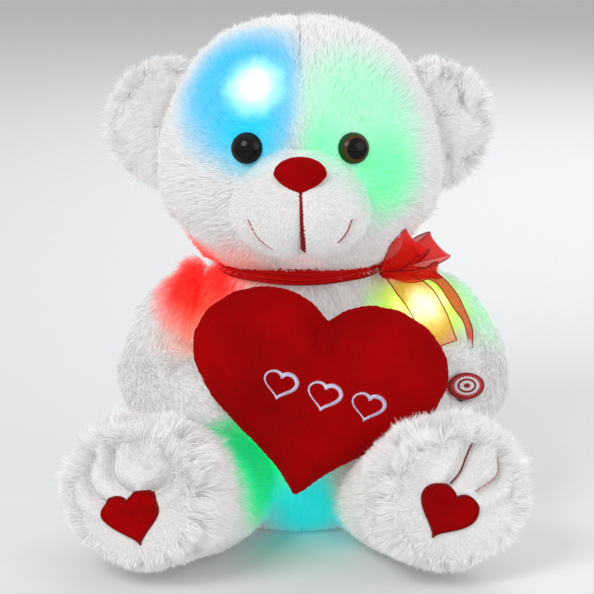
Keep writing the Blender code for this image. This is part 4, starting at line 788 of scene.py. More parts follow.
@dataclass(frozen=True)
class BackingFinish(Finish):
    """The knitted ground that fur and pile stand on."""

    base: Colour = (0.88, 0.87, 0.865)
    tuft: float = 620.0
    gain: float = 1.0

    def wire(self, graph: Graph, takes: bpy.types.bpy_prop_collection) -> None:
        """Wires tufts, a little shade between them and the lamps' glow."""
        place = graph.place()
        tufts = graph.noise(place, self.tuft, 3, 0.65)
        cloud = graph.noise(place, 60, 3)
        colour = graph.mix(graph.span(tufts, 0.3, 0.65), (0.74, 0.725, 0.72), self.base)
        colour = graph.mix(graph.math("MULTIPLY", cloud, 0.2), colour, (0.82, 0.77, 0.74))
        # Painted fill light: the backing glows by a share of its own colour
        self.light_up(graph, takes, colour, self.gain, PAINTED_FILL_GLOW)
        graph.feed(takes["Roughness"], graph.math("MULTIPLY_ADD", cloud, 0.2, 0.75))
        takes["Sheen Weight"].default_value = 0.4
        graph.feed(takes["Normal"], graph.bump(tufts, 0.5, 0.0012))


@dataclass(frozen=True)
class VelvetFinish(Finish):
    """Red velvet: a brushed nap, with patches of painted light and shade where it would catch or lose the
    light.
    """

    # Lit and shaded copies of the red, mixed in patches as painted light and shade on the nap
    shaded_nap: Colour = (0.20, 0.0006, 0.0012)
    lit_nap: Colour = (0.46, 0.0008, 0.0014)

    def wire(self, graph: Graph, takes: bpy.types.bpy_prop_collection) -> None:
        """Wires the nap's patches of painted light and shade, its fine pile darkened towards the shaded red,
        and its sheen.
        """
        place = graph.place()
        patches = graph.noise(place, 26, 3, 0.5)
        brushed = graph.noise(place, 420, 3, 0.7)
        pile = graph.noise(place, 3200, 2, 0.7)
        lie = graph.math("ADD", graph.math("MULTIPLY", patches, 0.7), graph.math("MULTIPLY", brushed, 0.3))
        colour = graph.mix(graph.span(lie, 0.12, 0.78), self.shaded_nap, self.lit_nap)
        colour = graph.mix(graph.math("MULTIPLY", pile, 0.3), colour, self.shaded_nap)
        graph.feed(takes["Base Color"], colour)
        graph.feed(takes["Roughness"], graph.math("MULTIPLY_ADD", brushed, 0.20, 0.75))
        takes["Specular IOR Level"].default_value = 0.04
        takes["Sheen Weight"].default_value = 0.60
        takes["Sheen Roughness"].default_value = 0.30
        takes["Sheen Tint"].default_value = (1.0, 0.02, 0.02, 1.0)
        height = graph.math("ADD", graph.math("MULTIPLY", pile, 0.5), brushed)
        graph.feed(takes["Normal"], graph.bump(height, 0.35, 0.0005))


@dataclass(frozen=True)
class RibbonFinish(Finish):
    """Woven ribbon, close like satin or open like organza."""

    base: Colour = (0.62, 0.010, 0.008)
    # edge is the darker red, painted as shade in the cloudy creases and between the threads
    edge: Colour = (0.30, 0.004, 0.004)
    closed: float = 1.0
    gloss: float = 0.40
    # Painted light: lit is a glow of the ribbon's own colour, standing in for light that comes through it
    # from behind
    lit: float = 0.10

    def wire(self, graph: Graph, takes: bpy.types.bpy_prop_collection) -> None:
        """Wires threads, painted shade in cloudy patches for creases, a painted glow of its own colour and,
        where it is open, the holes.
        """
        vector = graph.add("ShaderNodeUVMap", uv_map="cloth").outputs[0]
        weave = graph.group(Groups.weave(), Vector=vector)
        cloud = graph.noise(graph.place(), 240, 3, 0.6)
        colour = graph.mix(graph.math("MULTIPLY", cloud, 0.7), self.base, self.edge)
        colour = graph.mix(graph.math("MULTIPLY", weave.outputs["Thread"], 0.25), self.edge, colour)
        colour = graph.mix(graph.math("MULTIPLY_ADD", weave.outputs["Thread"], 0.3, 0.7), self.edge, colour)
        graph.feed(takes["Base Color"], colour)
        graph.feed(takes["Roughness"], graph.math("MULTIPLY_ADD", cloud, 0.2, self.gloss))
        # Painted light: the ribbon glows in its own colour
        graph.feed(takes["Emission Color"], colour)
        takes["Emission Strength"].default_value = self.lit
        takes["Specular IOR Level"].default_value = 0.2
        graph.feed(takes["Normal"], graph.bump(weave.outputs["Height"], 0.25, 0.0002))
        if self.closed < 1:
            open_share = graph.math("MULTIPLY_ADD", weave.outputs["Thread"], 0.22, self.closed)
            graph.feed(takes["Alpha"], graph.math("ADD", open_share, graph.math("MULTIPLY", cloud, 0.08)))


@dataclass(frozen=True)
class ThreadFinish(Finish):
    """Twisted embroidery thread."""

    base: Colour = (0.45, 0.01, 0.01)
    shade: Colour = (0.20, 0.004, 0.004)

    def wire(self, graph: Graph, takes: bpy.types.bpy_prop_collection) -> None:
        """Wires the twist's shade and a silky gloss."""
        place = graph.place()
        twist = graph.noise(place, 1800, 2, 0.5)
        lay = graph.noise(place, 500, 1)
        graph.feed(takes["Base Color"], graph.mix(graph.span(twist, 0.3, 0.7), self.shade, self.base))
        graph.feed(takes["Roughness"], graph.math("MULTIPLY_ADD", lay, 0.2, 0.30))
        takes["Specular IOR Level"].default_value = 0.2
        takes["Sheen Weight"].default_value = 0.15
        takes["Sheen Tint"].default_value = (*self.base, 1.0)
        graph.feed(takes["Normal"], graph.bump(twist, 0.3, 0.0002))


@dataclass(frozen=True)
class EyeFinish(Finish):
    """A clear-coated safety eye: a black pupil in a dark ring."""

    ring: Colour = (0.012, 0.008, 0.006)
    rim: Colour = (0.004, 0.004, 0.004)

    def wire(self, graph: Graph, takes: bpy.types.bpy_prop_collection) -> None:
        """Wires the ring round the pupil and a polished coat."""
        across, up = graph.chart("iris")
        sideways = graph.math("POWER", graph.math("SUBTRACT", across, 0.535), 2.0)
        upwards = graph.math("POWER", graph.math("SUBTRACT", up, 0.47), 2.0)
        reach = graph.math("SQRT", graph.math("ADD", sideways, upwards))
        streak = graph.noise(graph.place(), 900, 3)
        reach = graph.math("ADD", reach, graph.math("MULTIPLY", streak, 0.02))
        colour = graph.mix(graph.span(reach, 0.33, 0.38), (0.003, 0.003, 0.003), self.ring)
        graph.feed(takes["Base Color"], graph.mix(graph.span(reach, 0.41, 0.47), colour, self.rim))
        graph.feed(takes["Roughness"], graph.math("MULTIPLY_ADD", streak, 0.04, 0.05))
        takes["Coat Weight"].default_value = 0.18
        takes["Coat Roughness"].default_value = 0.02
        takes["Specular IOR Level"].default_value = 0.06


@dataclass(frozen=True)
class MouldedFinish(Finish):
    """Moulded plastic, rubber, laminate or film with grain and wear."""

    base: Colour = (0.5, 0.5, 0.5)
    worn: Colour = (0.6, 0.6, 0.6)
    rough: float = 0.45
    metal: float = 0.0
    wear: float = 0.35
    relief: float = 0.12

    def wire(self, graph: Graph, takes: bpy.types.bpy_prop_collection) -> None:
        """Wires grain, wear and gloss."""
        grain = graph.group(Groups.grain(), Base=self.base, Worn=self.worn, Wear=self.wear)
        graph.feed(takes["Base Color"], grain.outputs["Color"])
        smudge = grain.outputs["Smudge"]
        graph.feed(takes["Roughness"], graph.math("MULTIPLY_ADD", smudge, 0.25, self.rough - 0.1))
        takes["Metallic"].default_value = self.metal
        graph.feed(takes["Normal"], graph.bump(grain.outputs["Height"], self.relief, 0.0003))


@dataclass(frozen=True)
class LampFinish(Finish):
    """A lit lamp dome: coloured resin, brightest at its middle."""

    base: Colour = (1.0, 1.0, 1.0)

    def wire(self, graph: Graph, takes: bpy.types.bpy_prop_collection) -> None:
        """Wires tinted resin that shines."""
        cloud = graph.noise(graph.place(), 700, 2)
        colour = graph.mix(graph.math("MULTIPLY", cloud, 0.35), self.base, (1.0, 1.0, 1.0))
        graph.feed(takes["Base Color"], colour)
        graph.feed(takes["Emission Color"], colour)
        takes["Emission Strength"].default_value = 1.6
        graph.feed(takes["Roughness"], graph.math("MULTIPLY_ADD", cloud, 0.1, 0.12))


@dataclass(frozen=True)
class TapeFinish(Finish):
    """Woven zip tape or felt in ribs along the height."""

    base: Colour = (0.78, 0.77, 0.75)
    shade: Colour = (0.45, 0.44, 0.43)
    scale: float = 900.0

    def wire(self, graph: Graph, takes: bpy.types.bpy_prop_collection) -> None:
        """Wires ribs and fuzz."""
        place = graph.place()
        ribs = graph.wave(place, self.scale, "X", 1.5)
        fuzz = graph.noise(place, 1500, 3, 0.7)
        height = graph.math("MULTIPLY_ADD", fuzz, 0.8, ribs)
        graph.feed(takes["Base Color"], graph.mix(graph.span(height, 0.3, 1.3), self.shade, self.base))
        graph.feed(takes["Roughness"], graph.math("MULTIPLY_ADD", fuzz, 0.15, 0.78))
        takes["Sheen Weight"].default_value = 0.3
        graph.feed(takes["Normal"], graph.bump(height, 0.4, 0.0003))


@dataclass(frozen=True)
class FloorFinish(Finish):
    """The plain pale floor."""

    base: Colour = (0.80, 0.80, 0.80)

    def wire(self, graph: Graph, takes: bpy.types.bpy_prop_collection) -> None:
        """Wires a nearly even pale card."""
        cloud = graph.noise(graph.place(), 3, 2)
        cloudy = graph.math("MULTIPLY", cloud, 0.12)
        graph.feed(takes["Base Color"], graph.mix(cloudy, self.base, (0.74, 0.74, 0.75)))
        graph.feed(takes["Roughness"], graph.math("MULTIPLY_ADD", cloud, 0.1, 0.7))


FUR = PlushFinish("plush_fur")
BACKING = BackingFinish("plush_backing")
VELBOA = BackingFinish("velboa_pile", base=(0.90, 0.89, 0.885), tuft=1100.0, gain=0.5)
# Its darker root colour is painted shade between the pile's strands
VELBOA_PILE = PlushFinish("velboa_fur", root=(0.84, 0.83, 0.825), gain=0.5)
VELVET = VelvetFinish("red_velvet")
NOSE_VELVET = VelvetFinish("nose_velvet", shaded_nap=(0.22, 0.0006, 0.0012), lit_nap=(0.52, 0.0012, 0.0022))
SATIN = RibbonFinish("satin_ribbon", base=(0.76, 0.003, 0.003), edge=(0.46, 0.001, 0.001), lit=0.18)
ORGANZA = RibbonFinish(
    "organza_ribbon", base=(0.95, 0.06, 0.004), edge=(0.75, 0.02, 0.002), closed=0.30, lit=0.34
)
ORGANZA_DOUBLE = RibbonFinish(
    "organza_double", base=(0.90, 0.010, 0.002), edge=(0.62, 0.002, 0.001), closed=0.64, lit=0.26
)
WIRE_EDGE = ThreadFinish("ribbon_edge", (0.42, 0.008, 0.006), (0.18, 0.002, 0.002))
WHITE_THREAD = ThreadFinish("white_thread", (0.84, 0.83, 0.82), (0.68, 0.66, 0.65))
MOUTH_THREAD = ThreadFinish("mouth_thread", (0.34, 0.002, 0.004), (0.16, 0.001, 0.002))
TOE_THREAD = ThreadFinish("toe_thread", (0.30, 0.012, 0.014), (0.18, 0.008, 0.010))
PINK_THREAD = ThreadFinish("pink_toe_thread", (0.78, 0.46, 0.44), (0.66, 0.34, 0.33))
SMILE_THREAD = ThreadFinish("smile_thread", (0.62, 0.16, 0.15), (0.46, 0.09, 0.09))
LILAC_THREAD = ThreadFinish("lilac_thread", (0.86, 0.80, 0.92), (0.46, 0.42, 0.66))
PATCH_THREAD = ThreadFinish("patch_thread", (0.30, 0.001, 0.002), (0.16, 0.001, 0.001))
# The iris ring is painted near black on the right eye and amber on the left, as the light falls on each; the
# left eye's green rim is a painted reflection of the green lamps' glow
EYE = EyeFinish("eye_gloss")
EYE_RINGED = EyeFinish("ringed_eye", ring=(0.085, 0.036, 0.008), rim=(0.006, 0.060, 0.014))
WASHER = MouldedFinish("eye_washer", (0.02, 0.02, 0.022), (0.05, 0.05, 0.05), 0.4)
FELT_RED = TapeFinish("badge_felt", (0.55, 0.015, 0.02), (0.30, 0.006, 0.01), 1500.0)
FELT_PALE = TapeFinish("badge_pale", (0.86, 0.80, 0.80), (0.62, 0.52, 0.53), 1500.0)
FIBRE = BackingFinish("fibre_filling", base=(0.90, 0.90, 0.91), tuft=260.0, gain=0.3)
CELL = MouldedFinish("cell_jacket", (0.10, 0.12, 0.14), (0.30, 0.31, 0.32), 0.30)
STEEL = MouldedFinish("contact_steel", (0.66, 0.65, 0.62), (0.50, 0.48, 0.44), 0.28, 1.0, 0.4)
LEAD = MouldedFinish("lead_sheath", (0.55, 0.02, 0.02), (0.65, 0.08, 0.07), 0.40)
LAMP_GREEN = LampFinish("lamp_green", (0.10, 0.90, 0.35))


@dataclass(frozen=True)
class Coat:
    """How one piece of fur grows: tapered, bent strands in tufts.

    Attributes:
        name: The piece's name.
        strands: How many strands are tried.
        length: A strand's length before it is trimmed.
        width: Its width at the root.
        lift: How far it stands off the surface, from 0 to 1.
        droop: How far its tip hangs.
        tuft: Spacing of the tufts.
        gather: How far tips gather in a tuft, from 0 to 1.
        ruffle: How much the combing wanders.
        seed: Seed of all its chances.
    """

    name: str
    strands: int
    length: float
    width: float = 0.0007
    lift: float = 0.45
    droop: float = 0.25
    tuft: float = 0.0042
    gather: float = 0.55
    ruffle: float = 0.35
    seed: int = 1

    STEPS: ClassVar[tuple[float, ...]] = (0.0, 0.56, 1.0)
    TAPER: ClassVar[tuple[float, ...]] = (1.0, 0.86)

    def grow(
        self,
        skin: bpy.types.Object,
        comb: Field,
        trim: Optional[Field] = None,
        keep: Optional[Field] = None,
        neighbours: Optional[Neighbours] = None,
        stand: Optional[Field] = None,
    ) -> bpy.types.Object:
        """Grows the fur on a skin.

        Args:
            skin: The piece that carries it.
            comb: Gives the way that the strands lie at each root.
            trim: Gives each strand's share of the full length.
            keep: Gives a number above zero where fur grows.
            neighbours: Nodes to keep roots out of.
            stand: Gives how much further off the surface the strands stand.

        Returns:
            The fur as one mesh, with the maps strand and OFBake.
        """
        rng = np.random.default_rng(self.seed)
        root, normal = self.scatter(skin, rng)
        if keep is not None:
            wanted = keep(root, normal) > 0
            root, normal = root[wanted], normal[wanted]
        if neighbours is not None:
            free = neighbours.clear(root + normal * 0.0008)
            root, normal = root[free], normal[free]
        length = self.length * rng.uniform(0.72, 1.12, len(root))
        stray = rng.random(len(root)) < 0.10
        length = np.where(stray, length * 1.18, length)
        if trim is not None:
            length = length * trim(root, normal)
        lie = flat_on(comb(root, normal) + self.ruffle * wander(root, 0.022, self.seed), normal)
        extra = np.zeros(len(root)) if stand is None else stand(root, normal)
        lift = np.clip(self.lift + extra, 0, 0.95)[:, None]
        bend = 0.9 * (1 - np.clip(extra, 0, 0.85))[:, None]
        first = unit(lie * (1 - lift) + normal * lift + rng.normal(0, 0.10, root.shape))
        hang = np.array((0, 0, -self.droop)) - normal * 0.25
        second = unit(first + (lie + hang) * bend + rng.normal(0, 0.12, root.shape))
        middle = root + first * length[:, None] * 0.5
        end = middle + second * length[:, None] * 0.5
        places = self.curves(root, middle, end, self.centres(root, rng), stray)
        return self.blades(places, normal, rng)

    def scatter(self, skin: bpy.types.Object, rng: np.random.Generator) -> tuple[np.ndarray, np.ndarray]:
        """Even random roots on the skin, and the normals there."""
        points, faces, normals = Bench.points(skin), Bench.triangles(skin), Bench.normals(skin)
        corners = points[faces]
        areas = np.linalg.norm(np.cross(corners[:, 1] - corners[:, 0], corners[:, 2] - corners[:, 0]), axis=1)
        total = np.cumsum(areas)
        spots = (np.arange(self.strands) + rng.random(self.strands)) / self.strands * total[-1]
        chosen = faces[np.minimum(np.searchsorted(total, spots), len(faces) - 1)]
        first, second = np.sqrt(rng.random(self.strands)), rng.random(self.strands)
        shares = np.stack([1 - first, first * (1 - second), first * second], 1)[:, :, None]
        return (points[chosen] * shares).sum(1), unit((normals[chosen] * shares).sum(1))

    def centres(self, root: np.ndarray, rng: np.random.Generator) -> np.ndarray:
        """For each strand, the strand that its tuft gathers round."""
        low, high = root.min(0), root.max(0)
        sides = high - low
        around = 0.6 * (sides[0] * sides[1] + sides[1] * sides[2] + sides[0] * sides[2]) * 2
        count = int(np.clip(around / self.tuft**2, 8, len(root) / 6))
        picked = rng.choice(len(root), count, replace=False)
        tree = KDTree(count)
        for order, index in enumerate(picked):
            tree.insert(root[index], order)
        tree.balance()
        jitter = rng.normal(0, self.tuft * 0.18, root.shape)
        return picked[[tree.find(row)[1] for row in (root + jitter).tolist()]]

    def curves(
        self, root: np.ndarray, middle: np.ndarray, end: np.ndarray, centre: np.ndarray, stray: np.ndarray
    ) -> np.ndarray:
        """The places along every strand, gathered towards its tuft's own strand."""
        v = np.array(self.STEPS)[None, :, None]
        ways = (1 - v) ** 2 * root[:, None] + 2 * v * (1 - v) * middle[:, None] + v**2 * end[:, None]
        pull = np.where(stray, 0.15, 1.0)[:, None, None] * self.gather * v**1.4
        ways = ways + pull * (ways[centre] - ways)
        ways[..., 2] = np.maximum(ways[..., 2], 0.0004)
        return ways

    def blades(self, ways: np.ndarray, normal: np.ndarray, rng: np.random.Generator) -> bpy.types.Object:
        """Makes each strand a tapered blade of three faces."""
        count = len(ways)
        tangent = unit(np.gradient(ways, axis=1))
        upright = np.broadcast_to(normal[:, None], tangent.shape)
        side = unit(np.cross(tangent, upright))
        lifted = np.cross(side, tangent)
        roll = rng.normal(0, 0.55, count)[:, None, None]
        across = side * np.cos(roll) + lifted * np.sin(roll)
        face_way = lifted * np.cos(roll) - side * np.sin(roll)
        widths = self.width / 2 * rng.uniform(0.75, 1.25, count)
        half = widths[:, None, None] * np.array(self.TAPER)[None, :, None]
        left = ways[:, :2] - across[:, :2] * half
        right = ways[:, :2] + across[:, :2] * half
        points = np.concatenate([np.stack([left, right], 2).reshape(count, 4, 3), ways[:, 2:]], 1)
        points[..., 2] = np.maximum(points[..., 2], 0.0003)
        pattern = np.array([(0, 1, 3), (0, 3, 2), (2, 3, 4)])
        faces = (np.arange(count)[:, None, None] * 5 + pattern[None]).reshape(-1, 3)
        piece = Bench.mesh(self.name, points.reshape(-1, 3), faces)
        standing = np.abs((tangent * upright).sum(2, keepdims=True))
        shading = unit(0.75 * (1 - standing) * upright + (0.40 + 0.60 * standing) * face_way)
        shading = np.repeat(shading, 2, axis=1)[:, :5]
        self.map_strands(piece, points.reshape(-1, 3), count, rng)
        piece.data.normals_split_custom_set_from_vertices(shading.reshape(-1, 3))
        return piece

    def map_strands(
        self, piece: bpy.types.Object, points: np.ndarray, count: int, rng: np.random.Generator
    ) -> None:
        """Writes the strand map, and a bake map laid out by place."""
        odd = np.repeat(rng.random(count), 5)
        along = np.tile([0.0, 0.0, self.STEPS[1], self.STEPS[1], 1.0], count)
        low, high = points.min(0), points.max(0)
        share = (points - low) / np.maximum(high - low, 1e-6)
        centred = points - (low + high) / 2
        turn = np.arctan2(centred[:, 0], -centred[:, 1]) / (2 * math.pi) + 0.5
        Bench.chart(piece, "strand", np.stack([odd, along], 1))
        Bench.chart(piece, "OFBake", np.stack([turn, share[:, 2]], 1) * 0.96 + 0.02)


class Stitches:
    """Copies of one modelled stitch, laid on a surface."""

    pattern: ClassVar[Optional[tuple[np.ndarray, np.ndarray]]] = None

    @classmethod
    def model(cls) -> tuple[np.ndarray, np.ndarray]:
        """The points and triangles of one stitch, arched so that its ends sink in."""
        if cls.pattern is None:
            Bench.clear()
            bpy.ops.mesh.primitive_uv_sphere_add(
                segments=6, ring_count=5, radius=1.0, rotation=(0, math.pi / 2, 0)
            )
            stitch = Bench.settle(Bench.named("stitch_model"))
            rows, faces = Bench.points(stitch), Bench.triangles(stitch)
            rows[:, 0] = np.sign(rows[:, 0]) * np.abs(rows[:, 0]) ** 0.75
            rows[:, 2] -= 0.9 * rows[:, 0] ** 2
            bpy.data.objects.remove(stitch)
            cls.pattern = (rows, faces)
        return cls.pattern

    @classmethod
    def lay(
        cls, name: str, places: np.ndarray, normals: np.ndarray, across: np.ndarray,
        half: object, radius: float,
    ) -> bpy.types.Object:
        """One mesh of many stitches.

        Args:
            name: The piece's name.
            places: The middle of each stitch.
            normals: The surface's normal there.
            across: The way that each stitch runs.
            half: Half a stitch's length, one number or one for each.
            radius: The thread's radius.

        Returns:
            The stitches as one piece.
        """
        rows, faces = cls.model()
        run = flat_on(np.broadcast_to(np.asarray(across, float), places.shape), normals)
        beside = np.cross(normals, run)
        reach = np.broadcast_to(np.asarray(half, float), (len(places),))[:, None]
        basis = np.stack([run * reach, beside * radius, normals * radius], 1)
        points = np.einsum("pi,sij->spj", rows, basis) + (places + normals * radius * 0.55)[:, None]
        numbers = (np.arange(len(places))[:, None, None] * len(rows) + faces[None]).reshape(-1, 3)
        return Bench.mesh(name, points.reshape(-1, 3), numbers)


def wrapped(
    node: str, name: str, centre: Place, halves: Place, segments: int, rings: int
) -> bpy.types.Object:
    """A ball drawn tight over the outside of a stuffed cover.

    Args:
        node: The cover's CAD node.
        name: The new piece's name.
        centre: The ball's centre.
        halves: Half its width, depth and height, a little over the cover's.
        segments: Faces round it.
        rings: Faces from top to bottom.

    Returns:
        The new skin.
    """
    Bench.clear()
    bpy.ops.mesh.primitive_uv_sphere_add(segments=segments, ring_count=rings, radius=1.0, location=centre)
    skin = Bench.named(name)
    Bench.in_order(skin)
    skin.scale = halves
    bpy.context.view_layer.update()
    Bench.settle(skin)
    Bench.apply(skin, "SHRINKWRAP", target=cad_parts[node], wrap_method="NEAREST_SURFACEPOINT")
    Bench.apply(skin, "SMOOTH", factor=0.5, iterations=2)
    Bench.apply(skin, "SUBSURF", levels=1, render_levels=1)
    Bench.smooth(skin)
    return skin


@dataclass
class Head:
    """The head: skin, ears, eyes and fur."""

    centre: Place = (0.0, -0.008, 0.188)
    halves: Place = (0.069, 0.060, 0.064)
    bridge: Place = (0.0, -0.064, 0.190)
    eye_places: tuple[Place, Place] = ((-0.0253, -0.0601, 0.2005), (0.0253, -0.0601, 0.2005))
    eye_way: Place = (0.256, -0.9325, 0.255)
    eye_radius: float = 0.0075
    ear_base: Place = (0.056, 0.003, 0.190)

    def build(self) -> None:
        """Makes the head's pieces."""
        skin = wrapped("head_cover", "head_skin", self.centre, self.halves, 56, 36)
        present(skin, Body.HEAD, BACKING, ["head_cover"])
        filling = Bench.stuffed("head_filling", "head_stuffing", 0.0035, 3, 0)
        present(filling, Body.HEAD, FIBRE, ["head_filling"])
        close = Neighbours(["muzzle", "nose", "eye_right", "eye_left", "ear_right", "ear_left"], 0.0006)
        front = Coat("head_fur_front", 140000, 0.0088, 0.00046, 0.42, 0.12, 0.0034, 0.32, 0.30, 11)
        back = Coat("head_fur_back", 85000, 0.0092, 0.00054, 0.48, 0.26, 0.0040, 0.45, 0.40, 12)
        for coat, keep in ((front, self.in_front), (back, self.behind)):
            fur = coat.grow(skin, self.comb, self.trim, keep, close, self.stand)
            present(fur, Body.HEAD, FUR)
        for side in Side:
            self.ear(side)
            self.eye(side)

    def in_front(self, root: np.ndarray, normal: np.ndarray) -> np.ndarray:
        """Above zero on the front of the head, the neck's seat left bare."""
        return np.where((root[:, 1] < -0.008) & (root[:, 2] > 0.1365), 1.0, 0.0)

    def behind(self, root: np.ndarray, normal: np.ndarray) -> np.ndarray:
        """Above zero on the back of the head, the neck's seat left bare."""
        return np.where((root[:, 1] >= -0.008) & (root[:, 2] > 0.1365), 1.0, 0.0)

    def comb(self, root: np.ndarray, normal: np.ndarray) -> np.ndarray:
        """Outward from the bridge of the nose in front, down and back behind."""
        outward = unit(root - np.array(self.bridge) + np.array((0, 0, 0.004)))
        behind = fade(root[:, 1], -0.005, 0.030)[:, None]
        way = outward * (1 - behind) + np.array((0.0, 0.25, -1.0)) * behind
        seam = np.exp(-np.abs(root[:, 0]) / 0.004) * fade(root[:, 2], 0.200, 0.212) * (root[:, 1] < 0.02)
        way[:, 0] += np.sign(root[:, 0]) * 0.9 * seam
        return way

    def trim(self, root: np.ndarray, normal: np.ndarray) -> np.ndarray:
        """Short on the face and round the eyes, long on crown, cheeks and chin."""
        away = np.linalg.norm((root - np.array(self.bridge)) * np.array((1.0, 1.0, 0.9)), axis=1)
        share = 0.42 + 0.58 * fade(away, 0.026, 0.075)
        share *= 1 - 0.50 * fade(-root[:, 2], -0.160, -0.146) * fade(-root[:, 1], 0.010, 0.030)
        for place in self.eye_places:
            near = np.linalg.norm(root - np.array(place), axis=1)
            share *= 0.30 + 0.70 * fade(near, 0.0085, 0.0155)
        return share

    def stand(self, root: np.ndarray, normal: np.ndarray) -> np.ndarray:
        """The crown's fur stands up."""
        return 0.28 * fade(root[:, 2], 0.222, 0.246)

    def ear(self, side: Side) -> None:
        """One ear, with longer fur round its rim."""
        name = f"ear_{side.label}"
        skin = Bench.stuffed(name, f"{name}_skin", 0.0028, 5, 1)
        present(skin, Body.HEAD, BACKING, [name])
        base = np.array(self.ear_base) * np.array((side.value, 1, 1))

        def comb(root: np.ndarray, normal: np.ndarray) -> np.ndarray:
            """Outward from where the ear meets the head."""
            return (root - base) * np.array((1.0, 0.4, 1.0)) + np.array((0, 0.006, 0))

        def trim(root: np.ndarray, normal: np.ndarray) -> np.ndarray:
            """Shorter inside the cup."""
            cup = fade(-normal[:, 1], 0.55, 0.9)
            return 1.0 - 0.20 * cup

        def stand(root: np.ndarray, normal: np.ndarray) -> np.ndarray:
            """The rim's fur stands out round the ear."""
            return 0.30 * (1 - fade(np.abs(normal[:, 1]), 0.3, 0.8))

        coat = Coat(f"{name}_fur", 38000, 0.0100, 0.00046, 0.52, 0.08, 0.0036, 0.38, 0.55, 20 + side.value)
        fur = coat.grow(skin, comb, trim, None, Neighbours(["head_cover"], 0.0003), stand)
        present(fur, Body.HEAD, FUR)

    def eye(self, side: Side) -> None:
        """One domed safety eye, with its iris laid out in a map of its own."""
        place = self.eye_places[0 if side is Side.RIGHT else 1]
        way = (self.eye_way[0] * side.value, self.eye_way[1], self.eye_way[2])
        Bench.clear()
        bpy.ops.mesh.primitive_uv_sphere_add(
            segments=40, ring_count=24, radius=self.eye_radius * 1.02, location=(0, 0, 0)
        )
        lens = Bench.named(f"eye_{side.label}_lens")
        rows = Bench.points(lens)
        rows[:, 2] *= np.where(rows[:, 2] > 0, 0.74, 0.35)
        Bench.move_to(lens, rows)
        Bench.chart(lens, "iris", rows[:, :2] / self.eye_radius * 0.5 + 0.5)
        lens.data.transform(facing(place, Vector(way)))
        Bench.smooth(lens)
        finish = EYE if side is Side.RIGHT else EYE_RINGED
        present(lens, Body.HEAD, finish, [f"eye_{side.label}"])


